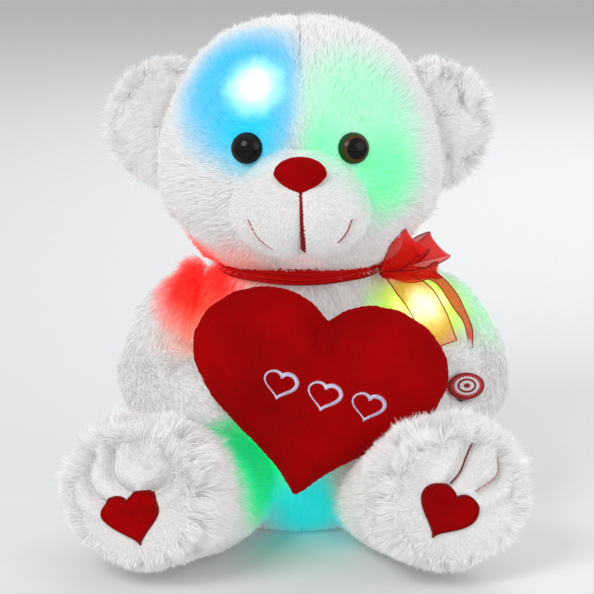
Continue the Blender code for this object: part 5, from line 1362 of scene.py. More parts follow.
@dataclass
class Muzzle:
    """The muzzle: two fleece cheeks, velvet nose, mouth line and smile."""

    top: Place = (0.0, -0.090, 0.188)
    mouth_top: float = 0.1868
    mouth_low: float = 0.1552
    groove: float = 0.0018
    smile: tuple[tuple[Place, ...], tuple[Place, ...]] = (
        (
            (-0.0240, -0.09, 0.1700), (-0.0205, -0.09, 0.1630),
            (-0.0165, -0.09, 0.1585), (-0.0125, -0.09, 0.1560),
        ),
        ((0.0240, -0.09, 0.1705), (0.0225, -0.09, 0.1660), (0.0205, -0.09, 0.1625), (0.0180, -0.09, 0.1595)),
    )

    def build(self) -> None:
        """Makes the muzzle's pieces."""
        skin = Bench.stuffed("muzzle", "muzzle_skin", 0.0018, 4, 1)
        self.part_cheeks(skin)
        present(skin, Body.HEAD, VELBOA, ["muzzle"])
        surface = Surface(skin)
        pile = Coat("muzzle_pile", 48000, 0.0024, 0.00030, 0.50, 0.05, 0.0018, 0.30, 0.5, 31)
        fur = pile.grow(skin, self.comb, self.trim, self.outside, Neighbours(["nose", "head_cover"], 0.0))
        present(fur, Body.HEAD, VELBOA_PILE)
        nose = Bench.stuffed("nose", "nose_velvet_cap", 0.0009, 5, 1)
        self.taper(nose)
        present(nose, Body.HEAD, NOSE_VELVET, ["nose"])
        self.mouth(surface)
        for side, way in zip(Side, self.smile):
            rows = along_way(way, 11)
            places, normals = surface.lay(rows, (0, 1, 0))
            run = np.gradient(places, axis=0)
            name = f"smile_stitch_{side.label}"
            made = Stitches.lay(name, places + normals * 0.0005, normals, run, 0.0011, 0.00045)
            present(made, Body.HEAD, SMILE_THREAD)

    @staticmethod
    def taper(nose: bpy.types.Object) -> None:
        """Draws the nose down to a soft point."""
        rows = Bench.points(nose)
        middle = rows[:, 2].mean()
        reach = middle - rows[:, 2].min()
        low = np.clip((middle - rows[:, 2]) / reach, 0, 1)
        beside = np.abs(rows[:, 0]) / np.abs(rows[:, 0]).max()
        rows[:, 0] *= 1 - 0.30 * low**2
        rows[:, 2] -= 0.0022 * low**1.5 * (1 - beside)
        Bench.move_to(nose, rows)

    def from_smile(self, root: np.ndarray) -> np.ndarray:
        """How far each place is, seen from in front, from the nearest smile line."""
        return nearest_line(root[:, ::2], [along_way(way, 30)[:, ::2] for way in self.smile])

    def part_cheeks(self, skin: bpy.types.Object) -> None:
        """Presses the groove under the nose and rounds the cheeks beside it."""
        rows, normals = Bench.points(skin), Bench.normals(skin)
        front = fade(-normals[:, 1], 0.1, 0.5) * fade(self.mouth_top - rows[:, 2], -0.002, 0.006)
        across = rows[:, 0]
        press = -self.groove * np.exp(-((across / 0.0017) ** 2))
        swell = 0.0012 * np.exp(-(((np.abs(across) - 0.009) / 0.005) ** 2))
        away = self.from_smile(rows)
        crease = 0.0007 * np.exp(-(((away - 0.0035) / 0.0025) ** 2))
        crease -= 0.0012 * np.exp(-((away / 0.0013) ** 2))
        move = (press + swell) * front + crease * (normals[:, 1] < 0)
        Bench.move_to(skin, rows + normals * move[:, None])

    def comb(self, root: np.ndarray, normal: np.ndarray) -> np.ndarray:
        """Down and outward from the nose."""
        return unit(root - np.array(self.top)) + np.array((0, 0, -0.3))

    def trim(self, root: np.ndarray, normal: np.ndarray) -> np.ndarray:
        """Shorter beside the mouth and smile lines, longer round the muzzle's edge."""
        share = 0.45 + 0.55 * fade(np.abs(root[:, 0]), 0.0012, 0.006)
        share *= 0.30 + 0.70 * fade(self.from_smile(root), 0.0004, 0.0025)
        return share * (1 + 1.3 * fade(root[:, 1], -0.080, -0.064))

    def outside(self, root: np.ndarray, normal: np.ndarray) -> np.ndarray:
        """Above zero where the muzzle shows, clear of its mouth line."""
        bare = (np.abs(root[:, 0] - 0.0007) < 0.0020) & (root[:, 2] < self.mouth_top)
        return np.where(bare | (root[:, 1] > -0.050), 0.0, 1.0)

    def mouth(self, surface: Surface) -> None:
        """The red satin-stitched line below the nose."""
        count = 62
        heights = np.linspace(self.mouth_top, self.mouth_low, count)
        rows = np.stack([np.zeros(count), np.full(count, -0.09), heights], 1)
        rows[:, 0] += 0.0002 * np.sin(np.arange(count) * 1.7) + np.linspace(0, 0.0014, count)
        places, normals = surface.lay(rows, (0, 1, 0))
        half = np.linspace(0.0009, 0.0023, count)
        made = Stitches.lay("mouth_line", places, normals, (1.0, 0.0, 0.35), half, 0.00036)
        present(made, Body.HEAD, MOUTH_THREAD, ["mouth_stitch"])


@dataclass
class Torso:
    """The seated trunk: skin, filling and combed fur."""

    centre: Place = (0.0, 0.0, 0.060)
    halves: Place = (0.064, 0.054, 0.090)

    def build(self) -> None:
        """Makes the trunk's pieces."""
        skin = wrapped("torso_cover", "torso_skin", self.centre, self.halves, 56, 44)
        present(skin, Body.TRUNK, BACKING, ["torso_cover"])
        filling = Bench.stuffed("torso_filling", "torso_stuffing", 0.0035, 3, 0)
        present(filling, Body.TRUNK, FIBRE, ["torso_filling"])
        nodes = ["arm_right", "arm_left", "leg_right", "leg_left", "heart_cushion", "neck_ribbon", "zip_tape"]
        close = Neighbours(nodes, 0.0005)
        front = Coat("torso_fur_front", 72000, 0.0092, 0.00052, 0.45, 0.26, 0.0040, 0.34, 0.38, 41)
        back = Coat("torso_fur_back", 64000, 0.0092, 0.00060, 0.45, 0.28, 0.0046, 0.48, 0.40, 42)
        for coat, keep in ((front, self.in_front), (back, self.behind)):
            present(coat.grow(skin, self.comb, self.trim, keep, close), Body.TRUNK, FUR)

    def in_front(self, root: np.ndarray, normal: np.ndarray) -> np.ndarray:
        """Above zero on the front, with the seat left bare."""
        return np.where((root[:, 1] < 0.0) & (root[:, 2] > 0.0015), 1.0, 0.0)

    def behind(self, root: np.ndarray, normal: np.ndarray) -> np.ndarray:
        """Above zero on the back, with the seat and the zip left bare."""
        at_zip = (np.abs(root[:, 0]) < 0.0085) & (root[:, 2] > 0.022) & (root[:, 2] < 0.098)
        at_zip &= root[:, 1] > 0.03
        return np.where((root[:, 1] >= 0.0) & (root[:, 2] > 0.0015) & ~at_zip, 1.0, 0.0)

    def comb(self, root: np.ndarray, normal: np.ndarray) -> np.ndarray:
        """Down the trunk, and out over the shoulders."""
        way = np.tile(np.array((0.0, 0.0, -1.0)), (len(root), 1))
        shoulder = fade(root[:, 2], 0.105, 0.130)[:, None]
        way += unit(root * np.array((1.0, 1.0, 0.0))) * (0.25 + 1.2 * shoulder)
        zipped = np.exp(-np.abs(root[:, 0]) / 0.012) * (root[:, 1] > 0.03)
        way[:, 0] += np.sign(root[:, 0]) * 0.8 * zipped
        return way

    def trim(self, root: np.ndarray, normal: np.ndarray) -> np.ndarray:
        """Shorter by the zip, at the floor and under the chin."""
        beside = np.exp(-((root[:, 0] / 0.016) ** 2)) * (root[:, 1] > 0.03) * (root[:, 2] < 0.105)
        by_zip = 1 - 0.45 * beside
        return by_zip * (0.55 + 0.45 * fade(root[:, 2], 0.001, 0.014))


@dataclass
class Arm:
    """One arm that reaches round to the cushion."""

    side: Side
    route: tuple[tuple[float, ...], ...]
    reach: Place = (0.062, 0.052, 0.1344)

    def build(self) -> None:
        """Makes the arm's skin and fur."""
        name = f"arm_{self.side.label}"
        skin = Bench.stuffed(name, f"{name}_skin", 0.0030, 5, 1)
        self.press_in(skin)
        present(skin, Body.TRUNK, BACKING, [name])
        nodes = ["torso_cover", "heart_cushion", "leg_right", "leg_left", "neck_ribbon"]
        if self.side is Side.LEFT:
            nodes += ["press_badge", "switch_housing"]
        seed = 50 + self.side.value
        coat = Coat(f"{name}_fur", 67000, 0.0094, 0.00048, 0.42, 0.18, 0.0038, 0.30, 0.32, seed)
        fur = coat.grow(skin, self.comb, self.trim, self.shown, Neighbours(nodes, 0.0006))
        present(fur, Body.TRUNK, FUR)

    def press_in(self, skin: bpy.types.Object) -> None:
        """Presses the outer side of the upper arm in a little, where it hangs slack."""
        rows, normals = Bench.points(skin), Bench.normals(skin)
        outer = np.clip(normals[:, 0] * self.side.value, 0, 1)
        outer *= 0.5 + 0.5 * fade(rows[:, 2], 0.070, 0.100)
        if self.side is Side.LEFT:
            outer *= fade(np.linalg.norm(rows - np.array(BADGE_MIDDLE), axis=1), 0.012, 0.026)
        Bench.move_to(skin, rows - np.array((self.side.value, 0, 0)) * (0.0060 * outer)[:, None])

    def comb(self, root: np.ndarray, normal: np.ndarray) -> np.ndarray:
        """Along the arm from shoulder to paw."""
        knots = np.array([row[:3] for row in self.route]) * np.array(self.reach)
        way = along_way(knots, 60)
        tangent = unit(np.gradient(way, axis=0))
        nearest = np.argmin(((root[:, None] - way[None]) ** 2).sum(2), axis=1)
        return tangent[nearest] + np.array((0, 0, -0.35)) + 0.25 * unit(root - way[nearest])

    def trim(self, root: np.ndarray, normal: np.ndarray) -> np.ndarray:
        """Shorter round the badge and by the neck."""
        share = 1 - 0.40 * np.clip(normal[:, 0] * self.side.value, 0, 1)
        if self.side is Side.LEFT:
            away = np.linalg.norm((root - np.array(BADGE_MIDDLE)) * np.array((0.9, 1.0, 1.0)), axis=1)
            share *= 0.35 + 0.65 * fade(away, 0.011, 0.019)
        return share

    def shown(self, root: np.ndarray, normal: np.ndarray) -> np.ndarray:
        """Above zero but for the badge's seat."""
        if self.side is Side.RIGHT:
            return np.ones(len(root))
        away = np.linalg.norm((root - np.array(BADGE_MIDDLE)) * np.array((0.92, 1.0, 1.2)), axis=1)
        return away - 0.0094


@dataclass
class Leg:
    """One leg with its sole pad, heart patch and toe stitches."""

    side: Side
    turn: float
    spread: float
    toes: tuple[tuple[tuple[float, float], ...], ...]
    patch_place: tuple[float, float]
    patch_tilt: float
    threads: tuple[Finish, ...]
    lean: float = 8.0
    forward: float = -0.099
    height: float = 0.042
    sole_reach: float = 0.0165
    pad_radius: float = 0.030
    patch_half: tuple[float, float] = (0.0155, 0.0142)

    PATCH_POINTS: ClassVar[int] = 120
    PATCH_RINGS: ClassVar[int] = 15

    def __post_init__(self) -> None:
        """Works out the sole's middle and its own axes."""
        turn, lean = math.radians(self.turn), math.radians(self.lean)
        self.outward = np.array((
            self.side.value * math.sin(turn) * math.cos(lean),
            -math.cos(turn) * math.cos(lean),
            math.sin(lean),
        ))
        self.foot = np.array((self.side.value * self.spread, self.forward, self.height))
        self.sole = self.foot + self.outward * self.sole_reach
        self.level = unit(np.cross(np.array((0.0, 0.0, 1.0)), self.outward))
        self.upward = np.cross(self.outward, self.level)
        self.body = Body.LEG_RIGHT if self.side is Side.RIGHT else Body.LEG_LEFT

    def on_sole(self, rows: np.ndarray, off: float = 0.008) -> np.ndarray:
        """Rows (across, up) on the sole as places in front of it."""
        return self.sole + self.outward * off + rows[:, :1] * self.level + rows[:, 1:2] * self.upward

    def build(self) -> None:
        """Makes the leg's pieces."""
        label = self.side.label
        name = f"leg_{label}"
        skin = Bench.stuffed(name, f"{name}_skin", 0.0030, 5, 1)
        present(skin, self.body, BACKING, [name])
        nodes = ["torso_cover", "heart_cushion", "arm_right", "arm_left", f"sole_pad_{label}"]
        seed = 60 + self.side.value
        coat = Coat(f"{name}_fur", 71000, 0.0104, 0.00046, 0.46, 0.12, 0.0040, 0.34, 0.38, seed)
        fur = coat.grow(skin, self.comb, self.trim, self.shown, Neighbours(nodes, 0.0006), self.stand)
        present(fur, self.body, FUR)
        pad = Bench.stuffed(f"sole_pad_{label}", f"sole_pad_{label}_skin", 0.0015, 4, 1)
        self.shape_toes(pad)
        present(pad, self.body, VELBOA, [f"sole_pad_{label}"])
        surface = Surface(pad)
        seed = 70 + self.side.value
        pile = Coat(f"sole_pile_{label}", 36000, 0.0024, 0.00032, 0.50, 0.05, 0.0020, 0.30, 0.5, seed)
        made = pile.grow(pad, self.comb, self.pile_trim, self.pile_shown)
        present(made, self.body, VELBOA_PILE)
        seed = 80 + self.side.value
        fringe = Coat(f"sole_fringe_{label}", 60000, 0.0105, 0.00042, 0.30, 0.06, 0.0034, 0.30, 0.35, seed)
        made = fringe.grow(pad, self.comb, self.trim, self.at_rim)
        present(made, self.body, FUR)
        self.patch(surface, label)
        self.toe_lines(surface, label)

    def plane(self, root: np.ndarray) -> tuple[np.ndarray, np.ndarray, np.ndarray]:
        """Each place's distance across, up and out from the sole's middle."""
        away = root - self.sole
        return away @ self.level, away @ self.upward, away @ self.outward

    def comb(self, root: np.ndarray, normal: np.ndarray) -> np.ndarray:
        """Outward all round the sole, and back along the leg."""
        across, up, out = self.plane(root)
        radial = unit(across[:, None] * self.level + up[:, None] * self.upward)
        back = fade(-out, 0.006, 0.034)[:, None]
        way = radial * (1.0 - 0.55 * back) + self.outward * (0.25 - 1.1 * back)
        return way + np.array((0, 0, -0.25)) * back

    def stand(self, root: np.ndarray, normal: np.ndarray) -> np.ndarray:
        """The fringe round the sole stands out."""
        _, _, out = self.plane(root)
        return 0.40 * fade(out, -0.026, -0.006)

    def trim(self, root: np.ndarray, normal: np.ndarray) -> np.ndarray:
        """Longer round the sole, shorter at the floor."""
        _, up, out = self.plane(root)
        low = 1 - 0.45 * fade(-up, 0.012, 0.026)
        low *= 0.5 + 0.5 * fade(root[:, 2], 0.001, 0.012)
        return low * (0.90 + 0.30 * fade(out, -0.022, -0.006))

    def shown(self, root: np.ndarray, normal: np.ndarray) -> np.ndarray:
        """Above zero off the sole's own face and off the floor."""
        across, up, out = self.plane(root)
        on_face = (np.hypot(across, up) < self.pad_radius * 0.97) & (out > -0.006)
        return np.where(on_face | (root[:, 2] < 0.0022), 0.0, 1.0)

    def at_rim(self, root: np.ndarray, normal: np.ndarray) -> np.ndarray:
        """Above zero on the rim of the sole."""
        across, up, _ = self.plane(root)
        return np.where((np.hypot(across, up) > 0.0262) & (normal @ self.outward > -0.4), 1.0, 0.0)

    def pile_shown(self, root: np.ndarray, normal: np.ndarray) -> np.ndarray:
        """Above zero on the sole's face, off its heart patch."""
        across, up, _ = self.plane(root)
        face = normal @ self.outward > 0.05
        return np.where(face & ~within(self.heart(0.95), np.stack([across, up], 1)), 1.0, 0.0)

    def pile_trim(self, root: np.ndarray, normal: np.ndarray) -> np.ndarray:
        """Longer towards the sole's rim, clipped along the toe stitches."""
        across, up, _ = self.plane(root)
        reach = np.hypot(across, up)
        share = 0.62 + 0.75 * fade(reach, 0.016, 0.028) + 0.9 * fade(reach, 0.024, 0.030)
        return share * (0.25 + 0.75 * fade(self.from_toes(across, up), 0.0006, 0.0022))

    def from_toes(self, across: np.ndarray, up: np.ndarray) -> np.ndarray:
        """How far each place on the sole is from the nearest toe line."""
        return nearest_line(np.stack([across, up], 1), [along_way(line, 30) for line in self.toes])

    def heart(self, share: float) -> np.ndarray:
        """The heart patch's outline on the sole, at a share of its full size."""
        outline = heart_outline(self.PATCH_POINTS, self.patch_half[0] * share, self.patch_half[1] * share)
        return turned(outline, self.patch_tilt) + np.array(self.patch_place)

    def shape_toes(self, pad: bpy.types.Object) -> None:
        """Presses the toe grooves in and swells the pads between them."""
        rows, normals = Bench.points(pad), Bench.normals(pad)
        across, up, _ = self.plane(rows)
        face = np.clip(normals @ self.outward, 0, 1)
        away = self.from_toes(across, up)
        move = 0.0008 * fade(up, 0.002, 0.014)
        move -= 0.0034 * np.exp(-((away / 0.0026) ** 2))
        move += 0.0020 * np.exp(-(((away - 0.0060) / 0.0035) ** 2))
        Bench.move_to(pad, rows + normals * (move * face)[:, None])

    def patch(self, surface: Surface, label: str) -> None:
        """The velvet heart on the sole, with its satin border."""
        node = f"sole_heart_{label}"
        rings = np.linspace(0.001, 1.0, self.PATCH_RINGS)
        flat = np.concatenate([self.heart(share) for share in rings])
        places, normals = surface.lay(self.on_sole(flat), -self.outward, 0.01)
        rise = 0.0006 + 0.0011 * np.sqrt(np.clip(1 - rings**4, 0, 1))
        rise[-1] = -0.0004
        places = places + self.outward * np.repeat(rise, self.PATCH_POINTS)[:, None]
        numbers = np.arange(len(places)).reshape(self.PATCH_RINGS, self.PATCH_POINTS)
        piece = Bench.mesh(f"{node}_patch", places, grid_faces(np.concatenate([numbers, numbers[:, :1]], 1)))
        present(piece, self.body, VELVET, [node])
        outline = self.heart(0.93)
        places, normals = Surface(piece).lay(self.on_sole(outline), -self.outward, 0.01)
        run = round_run(places)
        across_run = np.cross(normals, run) + 0.25 * run
        border = Stitches.lay(f"{node}_border", places, normals, across_run, 0.0009, 0.00028)
        present(border, self.body, PATCH_THREAD)

    def toe_lines(self, surface: Surface, label: str) -> None:
        """The threads drawn through the sole to part its toes."""
        for number, (line, finish) in enumerate(zip(self.toes, self.threads), 1):
            rows = self.on_sole(along_way(line, 13))
            places, normals = surface.lay(rows, -self.outward, 0.01)
            made = Stitches.lay(
                f"toe_stitch_{label}_{number}", places + self.outward * 0.0005, normals,
                np.gradient(places, axis=0), 0.0011, 0.00040,
            )
            present(made, self.body, finish)


@dataclass
class HeartCushion:
    """The velvet heart: two crowned faces, a puckered seam and embroidery."""

    middle: Place = (0.0080, -0.0715, 0.0885)
    lean: float = 77.0
    roll: float = -10.5
    half_width: float = 0.0632
    half_height: float = 0.0532
    pucker: float = 0.0034
    motif_pitch: float = 0.0215
    motif_side: float = 0.0045
    motif_drop: float = 0.004
    motif_slant: float = -4.0

    def __post_init__(self) -> None:
        """Works out the cushion's own axes."""
        lean = Matrix.Rotation(math.radians(self.lean), 4, "X")
        roll = Matrix.Rotation(math.radians(self.roll), 4, "Z")
        self.matrix = Matrix.Translation(self.middle) @ lean @ roll
        self.front = np.array(self.matrix.to_3x3() @ Vector((0, 0, 1)))

    def local(self, rows: np.ndarray) -> np.ndarray:
        """Places seen along the cushion's own axes."""
        return moved(rows, self.matrix.inverted())

    def world(self, rows: np.ndarray) -> np.ndarray:
        """Places on the cushion's axes as places on the toy."""
        return moved(rows, self.matrix)

    def build(self) -> None:
        """Makes the cushion and its embroidery."""
        skin = Bench.stuffed("heart_cushion", "heart_cushion_skin", 0.0028, 6, 0)
        Bench.fill_out(skin, 4.0, 0.0022)
        Bench.apply(skin, "SUBSURF", levels=2, render_levels=2)
        self.sew(skin)
        Bench.smooth(skin)
        present(skin, Body.TRUNK, VELVET, ["heart_cushion"])
        self.embroider(Surface(skin))

    def sew(self, skin: bpy.types.Object) -> None:
        """Draws in the seam, its puckers and the crease below the notch."""
        rows, normals = Bench.points(skin), Bench.normals(skin)
        local = self.local(rows)
        outline = heart_outline(720, self.half_width, self.half_height)
        steps = np.linalg.norm(np.diff(outline, axis=0, append=outline[:1]), axis=1)
        length = np.concatenate([[0], np.cumsum(steps)[:-1]])
        tree = KDTree(len(outline))
        for index, (across, up) in enumerate(outline.tolist()):
            tree.insert((across, up, 0), index)
        tree.balance()
        found = [tree.find((row[0], row[1], 0)) for row in local.tolist()]
        away = np.array([hit[2] for hit in found])
        along = length[[hit[1] for hit in found]]
        height = np.abs(local[:, 2])
        ripple = np.cos(2 * math.pi * along / self.pucker + 1.3 * np.sin(along / 0.013))
        near = np.exp(-((away / 0.006) ** 2)) * np.exp(-((height / 0.009) ** 2))
        move = 0.0027 * np.exp(-((away / 0.011) ** 2)) - 0.00012 * (1 + ripple) * near
        move -= 0.0009 * np.exp(-((height / 0.0009) ** 2)) * np.exp(-((away / 0.005) ** 2))
        crease = np.exp(-(((local[:, 0] + 0.002) / 0.0085) ** 2)) * fade(local[:, 1], -0.020, 0.024)
        move -= 0.0042 * crease * fade(local[:, 2], 0.001, 0.010)
        swell = wander(rows, 0.045, 5)[:, 0]
        move += 0.0005 * swell * fade(local[:, 2], 0.0, 0.010)
        Bench.move_to(skin, rows + normals * move[:, None])

    def embroider(self, surface: Surface) -> None:
        """Three small outlined hearts in satin stitch, in a row down to one side."""
        slant = math.radians(self.motif_slant)
        turn = np.array(((math.cos(slant), -math.sin(slant)), (math.sin(slant), math.cos(slant))))
        for number in range(3):
            outline = heart_outline(96, 0.0078, 0.0068)
            outline[:, 0] += (number - 1) * self.motif_pitch + self.motif_side
            outline[:, 1] -= self.motif_drop
            flat = outline @ turn.T
            rows = self.world(np.concatenate([flat, np.full((len(flat), 1), 0.03)], 1))
            places, normals = surface.lay(rows, -self.front, 0.01)
            run = round_run(places)
            across = np.cross(normals, run) + 0.35 * run
            half = 0.00085 + 0.00035 * np.sin(np.arange(96) / 96 * 2 * math.pi + 0.6)
            name = f"heart_motif_{number + 1}"
            made = Stitches.lay(f"{name}_satin", places, normals, across, half, 0.00030)
            present(made, Body.TRUNK, LILAC_THREAD, [name])


@dataclass(frozen=True)
class Strip:
    """A length of ribbon by the rows of its way.

    Attributes:
        name: The piece's name.
        rows: Rows of place (mm), width direction and half width (mm).
        ripple: Height of its small waves, in metres.
        twist: Turns of its width direction along the way.
    """

    name: str
    rows: tuple[tuple[float, ...], ...]
    ripple: float = 0.0004
    twist: float = 0.0

    def grid(self, along: int, across: int) -> tuple[np.ndarray, float, float]:
        """The ribbon's places on a grid, its length and its mean width."""
        way = along_way(self.rows, along)
        middle, wide, half = way[:, :3] / 1000, unit(way[:, 3:6]), np.maximum(way[:, 6], 1.0) / 1000
        tangent = unit(np.gradient(middle, axis=0))
        wide = unit(wide - tangent * (wide * tangent).sum(1, keepdims=True))
        turn = (np.linspace(0, 1, along) ** 1.5 * self.twist * 2 * math.pi)[:, None]
        face = np.cross(tangent, wide)
        wide = wide * np.cos(turn) + face * np.sin(turn)
        face = np.cross(tangent, wide)
        share = np.linspace(-1, 1, across)
        length = float(np.linalg.norm(np.diff(middle, axis=0), axis=1).sum())
        steps = np.linspace(0, length, along)
        cup = 0.10 * half[:, None] * (share[None] ** 2)
        wave = self.ripple * np.sin(steps[:, None] / 0.0035 + 2.2 * share[None]) * (0.4 + share[None] ** 2)
        gather = 0.0007 * np.cos(share[None] * 9) * np.exp(-(steps[:, None] / 0.008) ** 2)
        places = middle[:, None] + wide[:, None] * (half[:, None] * share[None])[..., None]
        places = places + face[:, None] * (cup + wave + gather)[..., None]
        return places, length, float(2 * half.mean())

    def build(
        self, finish: Finish, slot: str, replaced: Sequence[str], rests: Sequence[str], held: str
    ) -> None:
        along, across = 56, 13
        places, length, width = self.grid(along, across)
        numbers = np.arange(along * across).reshape(along, across)
        piece = Bench.mesh(self.name, places.reshape(-1, 3), grid_faces(numbers))
        Bench.chart(piece, "cloth", cloth_rows(length, along, width, across))
        present(piece, Body.TRUNK, finish, replaced)
        edges = [tube_mesh(places[:, index], 0.00030, 7) for index in (0, -1)]
        edges.append(tube_mesh(places[-1], 0.00026, 7))
        made = Bench.mesh(f"{self.name}_edge", *merge(edges))
        present(made, Body.TRUNK, WIRE_EDGE)


def tube_mesh(way: np.ndarray, radius: float, sides: int) -> tuple[np.ndarray, np.ndarray]:
    """Points and triangles of a closed round thread along a way."""
    tangent = unit(np.gradient(way, axis=0))
    first = unit(np.cross(tangent, np.array((0.31, 0.17, 0.93))))
    second = np.cross(tangent, first)
    angle = 2 * math.pi * np.arange(sides) / sides
    ring = first[:, None] * np.cos(angle)[None, :, None] + second[:, None] * np.sin(angle)[None, :, None]
    points = (way[:, None] + ring * radius).reshape(-1, 3)
    count = len(way)
    low = np.arange((count - 1) * sides).reshape(count - 1, sides)
    after = np.roll(low, -1, 1)
    walls = np.concatenate([
        np.stack([low, after, after + sides], 2).reshape(-1, 3),
        np.stack([low, after + sides, low + sides], 2).reshape(-1, 3),
    ])
    ends = np.concatenate([way[:1], way[-1:]])
    spin = np.arange(sides)
    start, finish = count * sides, count * sides + 1
    last = (count - 1) * sides
    caps = np.concatenate([
        np.stack([np.full(sides, start), np.roll(spin, -1), spin], 1),
        np.stack([np.full(sides, finish), last + spin, last + np.roll(spin, -1)], 1),
    ])
    return np.concatenate([points, ends]), np.concatenate([walls, caps])


def merge(meshes: Sequence[tuple[np.ndarray, np.ndarray]]) -> tuple[np.ndarray, np.ndarray]:
    """Several meshes of triangles as one."""
    points, faces, total = [], [], 0
    for rows, numbers in meshes:
        points.append(rows)
        faces.append(numbers + total)
        total += len(rows)
    return np.concatenate(points), np.concatenate(faces)


@dataclass
class NeckBow:
    """The ribbon round the neck and its bow on the toy's left."""

    axis: Place = (0.0, -0.004, 0.1344)
    radius: float = 0.0405
    half_height: float = 0.0048

    def build(self) -> None:
        """Makes the band, the knot, the loops and the tails."""
        self.band()
        knot = Bench.stuffed("bow_knot", "bow_knot_wrap", 0.0009, 3, 1)
        rows, normals = Bench.points(knot), Bench.normals(knot)
        fold = 0.0006 * np.sin((rows[:, 0] * 0.5 + rows[:, 2] * 0.86) / 0.00045)
        Bench.move_to(knot, rows + normals * fold[:, None])
        Bench.chart(knot, "cloth", rows[:, [0, 2]] * 10)
        present(knot, Body.TRUNK, SATIN, ["bow_knot"])
        low, up = (-0.63, 0.0, 0.77), (0.82, 0.1, -0.57)
        loops = (
            Strip("bow_loop_front_ribbon", (
                (42.0, -26, 131, *up, 2.6), (46, -32, 137, *up, 5.0),
                (50, -37, 143.5, *up, 7.0), (54.5, -39, 149, *up, 7.4),
                (57.5, -35, 148.5, *up, 7.0), (55, -30, 142, *up, 5.8),
                (49, -26, 136, *up, 4.0), (44, -23, 131, *up, 2.4),
            )),
            Strip("bow_loop_back_ribbon", (
                (42.5, -24, 131, *low, 2.6), (50, -28, 135, *low, 5.0),
                (58.5, -29, 139.5, *low, 6.8), (66, -26, 143, *low, 7.6),
                (68.5, -20, 143.5, *low, 7.6), (61, -15, 140.5, *low, 6.6),
                (52, -15, 136, *low, 4.6), (44.5, -19, 132, *low, 2.4),
            )),
        )
        for strip, node in zip(loops, ("bow_loop_front", "bow_loop_back")):
            strip.build(ORGANZA_DOUBLE, "organza", [node], ["bow_knot_wrap"], "folded")
        wide = (0.85, -0.1, 0.50)
        small = (-0.1, -0.5, 0.85)
        Strip("bow_loop_small_ribbon", (
            (42.5, -27, 130, *small, 2.0), (50, -32, 130.5, *small, 3.4),
            (59, -34, 132, *small, 4.2), (67, -31.5, 133.5, *small, 4.2),
            (65, -28, 131.5, *small, 4.0), (54, -26, 129.5, *small, 3.0), (45, -24, 129.5, *small, 2.0),
        )).build(ORGANZA_DOUBLE, "organza", [], ["bow_knot_wrap"], "folded")
        Strip("bow_tail_broad_ribbon", (
            (43.5, -26, 129.5, 0.55, -0.1, 0.75, 2.2), (50.5, -32, 126.8, 0.72, -0.1, 0.62, 5.2),
            (58.5, -37, 121.3, 0.92, -0.1, 0.30, 7.6), (63.8, -41, 113.2, 0.97, -0.1, 0.12, 7.8),
            (67.4, -43.5, 106.2, 0.99, -0.1, 0.05, 7.4), (70.2, -45, 99.0, 0.99, 0.0, 0.05, 7.2),
        ), 0.0006).build(ORGANZA, "organza", ["bow_tail_broad"], ["arm_left_skin"], "hung")
        Strip("bow_tail_narrow_ribbon", (
            (44, -25, 131, *wide, 1.6), (56, -29, 132.5, *wide, 2.2),
            (67, -32, 130, *wide, 2.4), (75, -35, 121.5, *wide, 2.8),
            (80.5, -38, 113.0, *wide, 3.2), (83.6, -40, 105, *wide, 2.6), (85.4, -41.5, 97, *wide, 1.6),
        ), 0.0004, 0.20).build(ORGANZA_DOUBLE, "organza", ["bow_tail_narrow"], ["arm_left_skin"], "hung")

    def band(self) -> None:
        """The ribbon gathered lengthwise round the neck."""
        around, rows = 220, 41
        turn = np.linspace(0, 2 * math.pi, around, endpoint=False)
        share = np.linspace(-1, 1, rows)
        pleat = 0.0009 * np.sin(share[None] * 3.3 * math.pi + 0.5 * np.sin(3 * turn[:, None]))
        slack = 0.0003 * np.sin(11 * turn)[:, None] * np.cos(share[None] * 2)
        radius = self.radius + 0.0002 + pleat + slack
        height = self.axis[2] + self.half_height * 0.96 * share[None] + 0.0002 * np.sin(5 * turn)[:, None]
        places = np.stack([
            self.axis[0] + radius * np.cos(turn)[:, None],
            self.axis[1] + radius * np.sin(turn)[:, None],
            np.broadcast_to(height, radius.shape),
        ], 2)
        numbers = np.arange(around * rows).reshape(around, rows)
        faces = grid_faces(np.concatenate([numbers, numbers[:1]]))
        piece = Bench.mesh("neck_ribbon_band", places.reshape(-1, 3), faces)
        developed = float(np.linalg.norm(np.diff(places, axis=1), axis=2).sum(1).mean())
        length = 2 * math.pi * self.radius
        Bench.chart(piece, "cloth", cloth_rows(length, around, developed, rows))
        present(piece, Body.TRUNK, SATIN, ["neck_ribbon"])
        rims = [np.concatenate([places[:, index], places[:1, index]]) for index in (0, -1)]
        edges = [tube_mesh(rim, 0.0004, 6) for rim in rims]
        made = Bench.mesh("neck_ribbon_edge", *merge(edges))
        present(made, Body.TRUNK, WIRE_EDGE)


